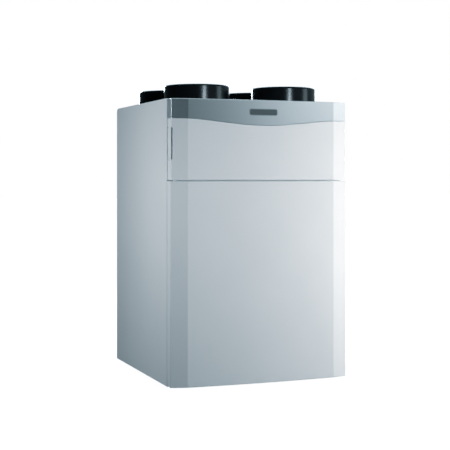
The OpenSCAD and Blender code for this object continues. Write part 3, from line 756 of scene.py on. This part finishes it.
def build_door_lip():
    """The door's upturned lip, seen at the back of the joint under the cover."""
    depth, thick = 19 * MM, 1.2 * MM
    z0 = PANEL_HI.z - 0.5 * MM
    z1 = COVER_LO.z - 0.3 * MM
    bm = bmesh.new()
    rings = []
    for inset, z in ((depth, z0), (depth, z1), (depth + thick, z1), (depth + thick, z0)):
        points = front_outline(HALF_W, CORNER_R, inset)
        rings.append([bm.verts.new((p.x, p.y, z)) for p in points])
    for a, b in zip(rings, rings[1:] + rings[:1]):
        for i in range(len(a) - 1):
            bm.faces.new((a[i], a[i + 1], b[i + 1], b[i]))
    for end in (0, -1):
        bm.faces.new([ring[end] for ring in rings])
    make_object("lower_panel_lip", bm, "lower_front_panel", replace=False)


def build_nameplate():
    """A blank raised plate: dark face inside a bright rim, on a thin dark ring of painted shade that stands
    in for the shadowed gap round the plate.
    """
    _, _, cz = middle(PLATE_LO, PLATE_HI)
    w, h = PLATE_HI.x * 2, PLATE_HI.z - PLATE_LO.z
    corner = 5.8 * MM
    rim_w, edge = 1.2 * MM, 0.3 * MM
    shade_ring_out, face_in = 0.5 * MM, 0.7 * MM
    rear = Y_CROWN + 0.8 * MM
    shade_ring_y = Y_CROWN - 0.1 * MM
    face_y = Y_CROWN - 0.25 * MM
    rim_y = Y_CROWN - 0.5 * MM

    def outline(cut):
        return rounded_rect(0, cz, w - 2 * cut, h - 2 * cut, corner - cut, 8)

    # painted shade: a dark ring just outside the rim, where the gap round the plate lies in shadow
    bm = bmesh.new()
    add_slab(bm, outline(-shade_ring_out), shade_ring_y, rear)
    make_object("nameplate_gasket", bm, "nameplate", "rubber_seal", replace=False)
    bm = bmesh.new()
    add_slab(bm, outline(face_in), face_y, rear)
    make_object("nameplate_face", bm, "nameplate")
    bm = bmesh.new()
    loops = []
    for cut, y in ((0, rear), (0, rim_y + edge), (edge, rim_y),
                   (rim_w - edge, rim_y), (rim_w, rim_y + edge), (rim_w, rear)):
        loops.append([bm.verts.new((x, y, z)) for x, z in outline(cut)])
    join_rings(bm, loops + loops[:1])
    make_object("nameplate_rim", bm, "nameplate", "silver_lacquer", replace=False)


def build_grips():
    """Finger plates in the windows at the cover's corners, each on a base plate behind the wall."""
    lo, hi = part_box("cover_grips")
    end_gap = 2.6 * MM
    nose_r = 7 * MM
    edge_r = 0.45 * MM
    x_out = hi.x + 0.5 * MM
    x_base = hi.x - 1.4 * MM
    front = lo.y - 2.0 * MM
    z0, z1 = GRIP_Z[0] + end_gap, GRIP_Z[1] - end_gap
    outline = [(Y_BACK, z0)]
    outline += arc(front + nose_r, z0 + nose_r, nose_r, 270, 180, 8)
    outline += arc(front + nose_r, z1 - nose_r, nose_r, 180, 90, 8)
    outline.append((Y_BACK, z1))
    bm = bmesh.new()
    for side in (-1, 1):
        plate = bmesh.new()
        add_slab(plate, outline, 0, GRIP_PLATE_T, edge_r)
        for v in plate.verts:
            v.co = (side * (x_out - v.co.y), v.co.x, v.co.z)
        merge(bm, plate)
        x0, x1 = sorted((side * x_base, side * (x_base - GRIP_PLATE_T)))
        rounded_box(bm, (x0, lo.y, lo.z), (x1, hi.y, hi.z), 0.5 * MM)
    make_object("cover_grip_plates", bm, "cover_grips")


# ----------------------------------------
# Duct collars and the top
# ----------------------------------------
def build_collars():
    """Four duct collars: a flange on the top plate, a plain outside, two sealing grooves in the bore."""
    bore, outer = 90 * MM, 106.0 * MM
    flange_t, flange_edge = 7 * MM, 0.6 * MM
    nose_r, mouth_r = 6 * MM, 3 * MM
    groove_depth, groove_half = 0.8 * MM, 1.2 * MM
    for node in ("collar_front_left", "collar_front_right", "collar_rear_left", "collar_rear_right"):
        lo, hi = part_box(node)
        cx, cy, _ = middle(lo, hi)
        flange = (hi.x - lo.x) / 2
        top = hi.z + 1.0 * MM
        profile = [(bore, lo.z), (flange - flange_edge, lo.z), (flange, lo.z + flange_edge),
                   (flange, lo.z + flange_t - flange_edge), (flange - flange_edge, lo.z + flange_t),
                   (outer, lo.z + flange_t)]
        profile += arc(outer - nose_r, top - nose_r, nose_r, 0, 90, 8)
        profile += arc(bore + mouth_r, top - mouth_r, mouth_r, 90, 180, 5)
        for groove in (18 * MM, 34 * MM):
            z = top - groove
            profile += [(bore, z + groove_half), (bore + groove_depth, z + groove_half / 2),
                        (bore + groove_depth, z - groove_half / 2), (bore, z - groove_half)]
        bm = bmesh.new()
        add_revolve(bm, profile, (cx, cy, 0), "Z", 144)
        make_object(node + "_ring", bm, node)


def pan_screw(bm, centre, axis, shank_l):
    """A pan-head screw with a cross recess; the head stands out along axis from centre."""
    head_h, shank_r = 2.2 * MM, 2 * MM
    rim_share, recess_share = 0.45, 0.5
    cross_cos = 0.93                   # cosine of the width of the recess arms
    profile = [(shank_r, -shank_l), (shank_r, 0), (SCREW_HEAD_R, 0), (SCREW_HEAD_R, head_h * rim_share)]
    for a in (0.5, 0.9, 1.25):
        profile.append((SCREW_HEAD_R * math.cos(a), head_h * (rim_share + (1 - rim_share) * math.sin(a))))
    profile.append((SCREW_HEAD_R * 0.12, head_h))
    local = bmesh.new()
    rings = add_revolve(local, profile, (0, 0, 0), "Z", 24, closed=False)
    cap_rings(local, rings)
    for v in rings[-2] + rings[-1]:
        a = math.atan2(v.co.y, v.co.x)
        if abs(math.cos(2 * a)) > cross_cos:
            v.co.z -= head_h * recess_share
    turn = Vector((0, 0, 1)).rotation_difference(Vector(axis)).to_matrix().to_4x4()
    local.transform(Matrix.Translation(Vector(centre)) @ turn)
    merge(bm, local)


def build_screws():
    """Five screws up each side of the back panel and two on each side of the top plate."""
    x_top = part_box("casing_screws")[1].x - SCREW_HEAD_R
    x_back = HALF_W - 21 * MM
    plate_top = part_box("top_plate")[1].z
    back_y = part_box("back_panel")[1].y
    first_z, step_z = 60 * MM, 190 * MM
    front_y, rear_y = Y_EDGE + 35 * MM, back_y - 36.2 * MM
    bm = bmesh.new()
    for side in (-1, 1):
        for i in range(5):
            pan_screw(bm, (side * x_back, back_y, first_z + step_z * i), (0, 1, 0), shank_l=2.8 * MM)
        for y in (front_y, rear_y):
            pan_screw(bm, (side * x_top, y, plate_top), (0, 0, 1), shank_l=3.4 * MM)
    make_object("casing_screw_set", bm, "casing_screws")


def build_mains_inlet():
    """An appliance inlet that stands out of the top plate, with its three pins."""
    lo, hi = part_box("mains_inlet")
    _, cy, _ = middle(lo, hi)
    body_x, body_y = 24 * MM, 14 * MM
    well_x, well_y, well_depth = 12.5 * MM, 8.5 * MM, 20 * MM
    pin_x, pin_y = 1.2 * MM, 2.5 * MM
    bm = bmesh.new()
    rounded_box(bm, (lo.x, lo.y, BODY_H + 0.1 * MM), hi, 0.8 * MM)
    add_box(bm, (-body_x, cy - body_y, lo.z), (body_x, cy + body_y, BODY_H + 0.2 * MM))
    shell = make_object("mains_inlet_shell", bm, "mains_inlet")
    bm = bmesh.new()
    add_box(bm, (-well_x, cy - well_y, hi.z - well_depth), (well_x, cy + well_y, hi.z + 5 * MM))
    cut_out(shell, [link_mesh("cutter", bm)], weighted=False)
    bm = bmesh.new()
    for x, dy in ((-7 * MM, -1 * MM), (0, 2.5 * MM), (7 * MM, -1 * MM)):
        rounded_box(bm, (x - pin_x, cy + dy - pin_y, hi.z - well_depth - 0.5 * MM),
                    (x + pin_x, cy + dy + pin_y, hi.z - 6 * MM), 0.5 * MM)
    make_object("mains_inlet_pins", bm, "mains_inlet", "zinc_steel", replace=False)


def build_grommet():
    """A rubber grommet whose groove grips the top plate."""
    lo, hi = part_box("control_grommet")
    _, cy, _ = middle(lo, hi)
    bore, neck, lip = 4 * MM, 6.8 * MM, 2.4 * MM
    edge = 0.6 * MM
    r = (hi.x - lo.x) / 2
    profile = [(bore, lo.z), (r - edge, lo.z), (r, lo.z + edge), (r, lo.z + lip),
               (neck, lo.z + lip + 0.1 * MM), (neck, BODY_H + 0.1 * MM), (r, BODY_H + 0.2 * MM)]
    profile += arc(r - 2 * MM, hi.z - 2 * MM, 2 * MM, 0, 90, 5)
    profile += [(bore + 0.8 * MM, hi.z), (bore, hi.z - 0.8 * MM)]
    bm = bmesh.new()
    add_revolve(bm, profile, (0, cy, 0), "Z", 48)
    make_object("control_grommet_ring", bm, "control_grommet")


# ----------------------------------------
# Inside: exchanger, filters, hatch, controls, studs
# ----------------------------------------
def hexagon(half_w, side, cut):
    """Exchanger outline in X and Z about its axis, set in by cut."""
    w = half_w - cut
    tip = side + half_w - cut * math.sqrt(2)
    s = tip - w
    return [(0, -tip), (w, -s), (w, s), (0, tip), (-w, s), (-w, -s)]


def build_exchanger():
    """A stack of thin hexagonal plates on a smaller core, with its frame and pull strap."""
    lo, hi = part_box("exchanger_core")
    frame_lo, frame_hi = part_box("exchanger_frame")
    _, _, cz = middle(lo, hi)
    half_w = frame_hi.x
    side = (frame_hi.z - frame_lo.z) / 2 - half_w
    pitch, half_plate = 7.6 * MM, 0.8 * MM
    count = int((hi.y - lo.y) / pitch)
    plate = [(x, z + cz) for x, z in hexagon(half_w, side, 3.0 * MM)]
    core = [(x, z + cz) for x, z in hexagon(half_w, side, 12.0 * MM)]
    bm = bmesh.new()
    for i in range(count):
        y = lo.y + (i + 0.5) * (hi.y - lo.y) / count
        add_slab(bm, plate, y - half_plate, y + half_plate)
    add_slab(bm, core, lo.y + 0.5 * MM, hi.y - 0.5 * MM)
    make_object("exchanger_sheets", bm, "exchanger_core")
    dress_cad("exchanger_frame", 0.8 * MM)
    bm = bmesh.new()
    rounded_box(bm, *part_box("exchanger_strap"), 0.5 * MM)
    make_object("exchanger_pull_strap", bm, "exchanger_strap")


def build_filters():
    """Card frames with two cross bars, and the pleated media in them."""
    wall, half_bar, bar_t = 4 * MM, 3 * MM, 1.5 * MM
    edge = 0.5 * MM
    for node_side in ("left", "right"):
        lo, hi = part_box(f"filter_frame_{node_side}")
        bm = bmesh.new()
        y0, y1 = lo.y + wall, hi.y - wall
        rounded_box(bm, lo, (hi.x, y0, hi.z), edge, 2)
        rounded_box(bm, (lo.x, y1, lo.z), hi, edge, 2)
        rounded_box(bm, (lo.x, y0, lo.z), (lo.x + wall, y1, hi.z), edge, 2)
        rounded_box(bm, (hi.x - wall, y0, lo.z), (hi.x, y1, hi.z), edge, 2)
        for i in (1, 2):
            y = lo.y + (hi.y - lo.y) * i / 3
            rounded_box(bm, (lo.x + wall, y - half_bar, lo.z),
                        (hi.x - wall, y + half_bar, lo.z + bar_t), 0.4 * MM, 2)
        make_object(f"filter_frame_{node_side}_card", bm, f"filter_frame_{node_side}")
        pleated_media(node_side)


def pleated_media(node_side):
    """Fleece in upright folds with flat rounded ridges."""
    lo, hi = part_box(f"filter_media_{node_side}")
    folds, per_fold, thick = 16, 20, 1.6 * MM
    steepness = 3.0
    n = folds * per_fold
    _, _, mid = middle(lo, hi)
    amp = (hi.z - lo.z) / 2 - thick
    line = []
    for i in range(n + 1):
        swing = math.sin(2 * math.pi * i / per_fold)
        height = math.tanh(steepness * swing) / math.tanh(steepness)
        line.append(Vector((lo.x + (hi.x - lo.x) * i / n, mid + amp * height)))
    bm = bmesh.new()
    rows = []
    for y in (lo.y, hi.y):
        for sign in (1, -1):
            row = []
            for i, p in enumerate(line):
                along = (line[min(i + 1, n)] - line[max(i - 1, 0)]).normalized()
                x = p.x - sign * thick * along.y * 0.5
                row.append(bm.verts.new((x, y, p.y + sign * thick * along.x)))
            rows.append(row)
    front_top, front_low, back_top, back_low = rows
    for a, b in ((front_top, back_top), (back_low, front_low),
                 (front_low, front_top), (back_top, back_low)):
        for i in range(n):
            bm.faces.new((a[i], a[i + 1], b[i + 1], b[i]))
    for i in (0, n):
        bm.faces.new((front_top[i], front_low[i], back_low[i], back_top[i]))
    make_object(f"filter_media_{node_side}_pleats", bm, f"filter_media_{node_side}", smooth=60.0)


def build_filter_caps():
    """Plugs for the filter slots: a flange with a grip bar, two pads and the plug behind it."""
    flange_y, flange_t = 9 * MM, 5 * MM
    plug_x = (20 * MM, 279 * MM)
    plug_in = 6 * MM
    bar_x, bar_z = 45 * MM, 4 * MM
    pad_at, pad_x, pad_z = 70 * MM, 18 * MM, 14 * MM
    overlap = 1 * MM
    for side, node_side in ((-1, "left"), (1, "right")):
        node = f"filter_cap_{node_side}"
        lo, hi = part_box(node)
        y0, y1 = lo.y + flange_y, lo.y + flange_y + flange_t
        x0, x1 = sorted(side * x for x in plug_x)
        cx, _, cz = middle((x0, lo.y, lo.z), (x1, hi.y, hi.z))
        bm = bmesh.new()
        rounded_box(bm, (lo.x, y0, lo.z), (hi.x, y1, hi.z), 1.6 * MM)
        rounded_box(bm, (x0, y1 - overlap, lo.z + plug_in), (x1, hi.y, hi.z - plug_in), 1.2 * MM)
        rounded_box(bm, (cx - bar_x, lo.y, cz - bar_z), (cx + bar_x, y0 + overlap, cz + bar_z), 2 * MM)
        for s in (-1, 1):
            pad = cx + s * pad_at
            rounded_box(bm, (pad - pad_x, y0 - 1.2 * MM, cz - pad_z),
                        (pad + pad_x, y0 + overlap, cz + pad_z), 1.0 * MM)
        make_object(f"{node}_plug", bm, node)


def build_hatch():
    """The foam hatch and its seal keep their CAD shape, with softer edges."""
    dress_cad("foam_hatch", 5 * MM, 4)
    dress_cad("hatch_seal", 0.8 * MM)


def build_studs():
    """Ball-ended snap studs on the front panels and their sockets in the casing."""
    neck_r = 2.6 * MM
    shoulder, neck_lo, neck_hi, ball = 11 * MM, 9.5 * MM, 8 * MM, 4.2 * MM  # all from the tip
    for node in ("panel_studs", "cover_studs"):
        lo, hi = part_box(node)
        x = hi.x - STUD_R
        length = hi.y - lo.y
        profile = [(STUD_R, 0), (STUD_R, length - shoulder), (neck_r, length - neck_lo),
                   (neck_r, length - neck_hi)]
        profile += arc(0, length - ball, STUD_R, -55, 80, 8)
        bm = bmesh.new()
        for side in (-1, 1):
            for z in (lo.z + STUD_R, hi.z - STUD_R):
                rings = add_revolve(bm, profile, (side * x, lo.y, z), "Y", 32, closed=False)
                cap_rings(bm, rings)
        make_object(f"{node}_balls", bm, node)
    lo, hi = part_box("stud_sockets")
    outer, edge = 8.5 * MM, 0.8 * MM
    x = hi.x - outer
    profile = [(STUD_BORE, lo.y), (outer - edge, lo.y), (outer, lo.y + edge), (outer, hi.y),
               (STUD_BORE, hi.y)]
    bm = bmesh.new()
    for side in (-1, 1):
        for z in DOOR_STUD_Z + COVER_STUD_Z:
            add_revolve(bm, profile, (side * x, 0, z), "Y", 32)
    make_object("stud_socket_rings", bm, "stud_sockets")


def build_key(node):
    """A round key cap with a shallow finger dish."""
    lo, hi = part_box(node)
    cx, _, cz = middle(lo, hi)
    r = (hi.x - lo.x) / 2
    profile = [(0.4 * MM, lo.y + 0.35 * MM), (r * 0.55, lo.y + 0.3 * MM),
               (r * 0.8, lo.y + 0.05 * MM), (r - 0.5 * MM, lo.y + 0.1 * MM),
               (r, lo.y + 0.7 * MM), (r, hi.y)]
    bm = bmesh.new()
    rings = add_revolve(bm, profile, (cx, 0, cz), "Y", 40, closed=False)
    cap_rings(bm, rings)
    make_object(f"{node}_cap", bm, node)


def build_controls():
    """The control box; its cover plate has openings for the display and the keys."""
    dress_cad("control_box", 0.8 * MM)
    dress_cad("display_window", 0.5 * MM)
    keys = ("key_up", "key_down", "key_set")
    gap = 0.4 * MM
    cover_lo, cover_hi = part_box("control_cover")
    y0, y1 = cover_lo.y - 1 * MM, cover_hi.y + 1 * MM
    lo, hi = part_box("display_window")
    cx, _, cz = middle(lo, hi)
    opening = rounded_rect(cx, cz, hi.x - lo.x + gap, hi.z - lo.z + gap, 0.6 * MM)
    cutters = [cutter_object(opening, y0, y1)]
    for key in keys:
        lo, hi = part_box(key)
        cx, _, cz = middle(lo, hi)
        hole = arc(cx, cz, (hi.x - lo.x) / 2 + gap, 0, 360, 32)
        cutters.append(cutter_object(hole[:-1], y0, y1))
    bm = bmesh.new()
    rounded_box(bm, cover_lo, cover_hi, 1.2 * MM)
    cut_out(make_object("control_cover_plate", bm, "control_cover"), cutters)
    for key in keys:
        build_key(key)


# ----------------------------------------
# Stage
# ----------------------------------------
CAM_POS = Vector((-1.345, -3.4875, 0.6427))
CAM_YAW = -20.98                   # degrees
CAM_LENS = 88.43                   # mm, on a sensor 36 mm wide
CAM_SHIFT = -0.1063
# curve points that turn the shadows cool
COOL_RED = ((0.10, 0.072), (0.35, 0.295), (0.66, 0.62))
COOL_BLUE = ((0.10, 0.112), (0.35, 0.385), (0.66, 0.688))
AMBIENT = (0.055, 0.055, 0.055, 1)  # what diffuse rays see of the world
ZENITH = (0.5, 0.5, 0.5, 1)
ZENITH_RANGE = (0.35, 0.9)
FLOOR_HALF = 30.0
FLOOR_DROP = 0.5 * MM
FLOOR_ALBEDO = 0.2
FLOOR_PAINTED_SHADE_M = (0.5, 1.8)          # where the floor's glow goes from a painted shade round the unit to white
# glow near the unit and far from it; the lower level near the unit is painted shade
FLOOR_GLOW_WITH_PAINTED_SHADE = (0.92, 1.02)
# azimuth in degrees and level of what reflections see; 0 is straight in front of the unit
SURROUND = (
    (-180, 0.20), (-140, 0.18), (-100, 0.10), (-60, 0.05), (-20, 0.09), (12, 0.09),
    (34, 1.30), (60, 1.65), (95, 1.20), (135, 0.60), (180, 0.20),
)


def build_camera():
    """A level camera turned to the photo's angle; the lens shift keeps the uprights parallel."""
    data = bpy.data.cameras.new("camera")
    data.sensor_width = 36.0
    data.lens = CAM_LENS
    data.shift_y = CAM_SHIFT
    data.clip_end = 100
    cam = bpy.data.objects.new("camera", data)
    cam.location = CAM_POS
    cam.rotation_euler = (math.radians(90), 0, math.radians(CAM_YAW))
    bpy.context.scene.collection.objects.link(cam)
    bpy.context.scene.camera = cam


def from_azimuth(azimuth, elevation, distance, target):
    """A point round the unit: azimuth 0 is straight in front of it, 90 is its right."""
    a, e = math.radians(azimuth), math.radians(elevation)
    return Vector(target) + distance * Vector((
        math.sin(a) * math.cos(e), -math.cos(a) * math.cos(e), math.sin(e)))


def area_light(name, azimuth, elevation, distance, target, size, power,
               spread=180, glossy=True, link=None):
    """A rectangular light round the unit that faces target; size in metres, power in watts."""
    data = bpy.data.lights.new(name, "AREA")
    data.shape = "RECTANGLE"
    data.size, data.size_y = size
    data.energy = power
    data.spread = math.radians(spread)
    obj = bpy.data.objects.new(name, data)
    obj.location = from_azimuth(azimuth, elevation, distance, target)
    obj.rotation_euler = (Vector(target) - obj.location).to_track_quat("-Z", "Y").to_euler()
    obj.visible_glossy = glossy
    bpy.context.scene.collection.objects.link(obj)
    if link:
        obj.light_linking.receiver_collection = link


def link_group(name, objects, state):
    """A set of pieces that a light either reaches alone or leaves out."""
    group = bpy.data.collections.new(name)
    for obj in objects:
        group.objects.link(obj)
    for item in group.collection_objects:
        item.light_linking.link_state = state
    return group


def build_floor():
    """Pale floor: near white to the camera, with a faint contact shadow under the unit: real shadow on its
    dimly lit surface, and painted shade where its glow is lower near the unit.
    """
    bm = bmesh.new()
    bmesh.ops.create_grid(bm, x_segments=1, y_segments=1, size=FLOOR_HALF)
    floor = link_mesh("floor", bm)
    floor.location.z = -FLOOR_DROP
    m = Nodes("pale_floor")
    m.set(Roughness=1.0, Specular=0.0, Emission_Color=(1, 1, 1, 1))
    path = m.new("ShaderNodeLightPath")
    m.to(m.math("MULTIPLY_ADD", path.outputs["Is Diffuse Ray"], -FLOOR_ALBEDO, FLOOR_ALBEDO), "Base Color")
    length = m.new("ShaderNodeVectorMath", operation="LENGTH")
    m.link(m.coord, length.inputs[0])
    # painted shade: the glow the camera sees is lower near the unit
    painted_shade = m.remap(length.outputs["Value"], *FLOOR_PAINTED_SHADE_M, *FLOOR_GLOW_WITH_PAINTED_SHADE)
    m.to(m.math("MULTIPLY", path.outputs["Is Camera Ray"], painted_shade), "Emission Strength")
    floor.data.materials.append(m.mat)
    floor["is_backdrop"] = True


def build_world():
    """White behind the unit; reflections see a studio that is dark at front left and bright at right."""
    world = bpy.data.worlds.new("studio")
    bpy.context.scene.world = world
    world.use_nodes = True
    g = Graph(world.node_tree)
    split = g.new("ShaderNodeSeparateXYZ")
    g.link(g.new("ShaderNodeTexCoord").outputs["Generated"], split.inputs[0])
    turn = g.math("ARCTAN2", split.outputs["X"], g.math("MULTIPLY", split.outputs["Y"], -1))
    ramp = g.new("ShaderNodeValToRGB")
    ramp.color_ramp.interpolation = "EASE"
    stops = ramp.color_ramp.elements
    while len(stops) < len(SURROUND):
        stops.new(0.5)
    for stop, (azimuth, level) in zip(stops, SURROUND):
        stop.position = (azimuth + 180) / 360
        stop.color = (level, level, level, 1)
    g.link(g.remap(turn, -math.pi, math.pi, 0, 1), ramp.inputs["Fac"])
    high = g.remap(split.outputs["Z"], *ZENITH_RANGE, 0, 1, "SMOOTHSTEP")
    dome = g.mix(high, ramp.outputs["Color"], ZENITH)
    path = g.new("ShaderNodeLightPath")
    shiny = g.mix(path.outputs["Is Glossy Ray"], AMBIENT, dome)
    seen = g.mix(path.outputs["Is Camera Ray"], shiny, (1, 1, 1, 1))
    g.link(seen, world.node_tree.nodes["Background"].inputs["Color"])


def build_lights():
    """Soft keys from the right, fills on the left, a top light, two rear lights, two collar lights."""
    collars = [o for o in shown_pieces() if o.name.startswith("collar_") and o.name.endswith("_ring")]
    not_collars = link_group("all_but_collars", collars, "EXCLUDE")
    only_collars = link_group("collars_alone", collars, "INCLUDE")
    right_aim = (0.22, -0.3, 0.60)
    low_aim = (0.22, -0.3, 0.52)
    left_aim = (-0.30, -0.15, 0.60)
    side_aim = (-0.30, -0.35, 0.53)
    collar_aim = (0, 0, 0.92)
    area_light("key_beam", 45, 6, 2.2, right_aim, (0.8, 0.6), power=8.3, spread=100, glossy=False)
    area_light("key_low", 45, -4, 2.2, low_aim, (0.8, 0.5), power=7.4, spread=100, glossy=False)
    area_light("key_wide", 52, 0, 2.2, low_aim, (0.9, 0.7), power=1.9, spread=140, glossy=False)
    area_light("key_side", 75, -4, 2.0, low_aim, (0.9, 0.7), power=1.9, spread=90, glossy=False)
    area_light("left_front", -50, 6, 1.8, left_aim, (0.4, 0.3), power=0.3, spread=40, link=not_collars)
    area_light("left_side", -90, 6, 1.8, side_aim, (0.6, 0.5), power=2.5, spread=80, link=not_collars)
    area_light("left_rear", -112, 6, 1.8, left_aim, (0.6, 0.5), power=1.85, spread=100, link=not_collars)
    area_light("top", 0, 88, 2.4, (0, 0, 0.9), (1.6, 1.4), power=4.0, link=not_collars)
    area_light("back", 145, 22, 2.6, (0, 0, 0.5), (1.2, 1.2), power=20.0)
    area_light("rear", 180, 15, 2.6, (0, 0.3, 0.45), (0.5, 1.2), power=24.0, spread=120)
    area_light("collar_strip", 2.5, 3, 2.6, collar_aim, (0.36, 0.7), power=168, link=only_collars)
    area_light("collar_glow", 60, 3, 2.6, collar_aim, (0.8, 0.7), power=38, link=only_collars)


def build_stage():
    """Floor, world, lights and the view's colour curves."""
    build_floor()
    build_world()
    build_lights()
    view = bpy.context.scene.view_settings
    view.view_transform = "Standard"
    view.look = "None"
    view.use_curve_mapping = True
    curves = view.curve_mapping.curves
    for curve, points in zip((curves[0], curves[2]), (COOL_RED, COOL_BLUE)):
        for x, y in points:
            curve.points.new(x, y)
    view.curve_mapping.update()


# ----------------------------------------
# Assembly
# ----------------------------------------
# edge radii in mm of CAD pieces that aren't rounded by DEFAULT_BEVEL; large flat plates have none
DEFAULT_BEVEL = 0.5
OWN_BEVEL = {
    "left_side_panel": 1.0, "right_side_panel": 1.0, "foam_base": 2.0, "foam_top": 2.0,
    "top_plate": 0, "back_panel": 0, "base_pan": 0.4, "front_frame": 0.4,
}
build_front()
build_door_lip()
build_nameplate()
build_grips()
build_collars()
build_screws()
build_mains_inlet()
build_grommet()
build_exchanger()
build_filters()
build_filter_caps()
build_hatch()
build_studs()
build_controls()
for node, obj in frame["nodes"].items():
    if not obj.hide_render and not obj.modifiers:
        dress_cad(node, OWN_BEVEL.get(node, DEFAULT_BEVEL) * MM)
build_camera()
build_stage()
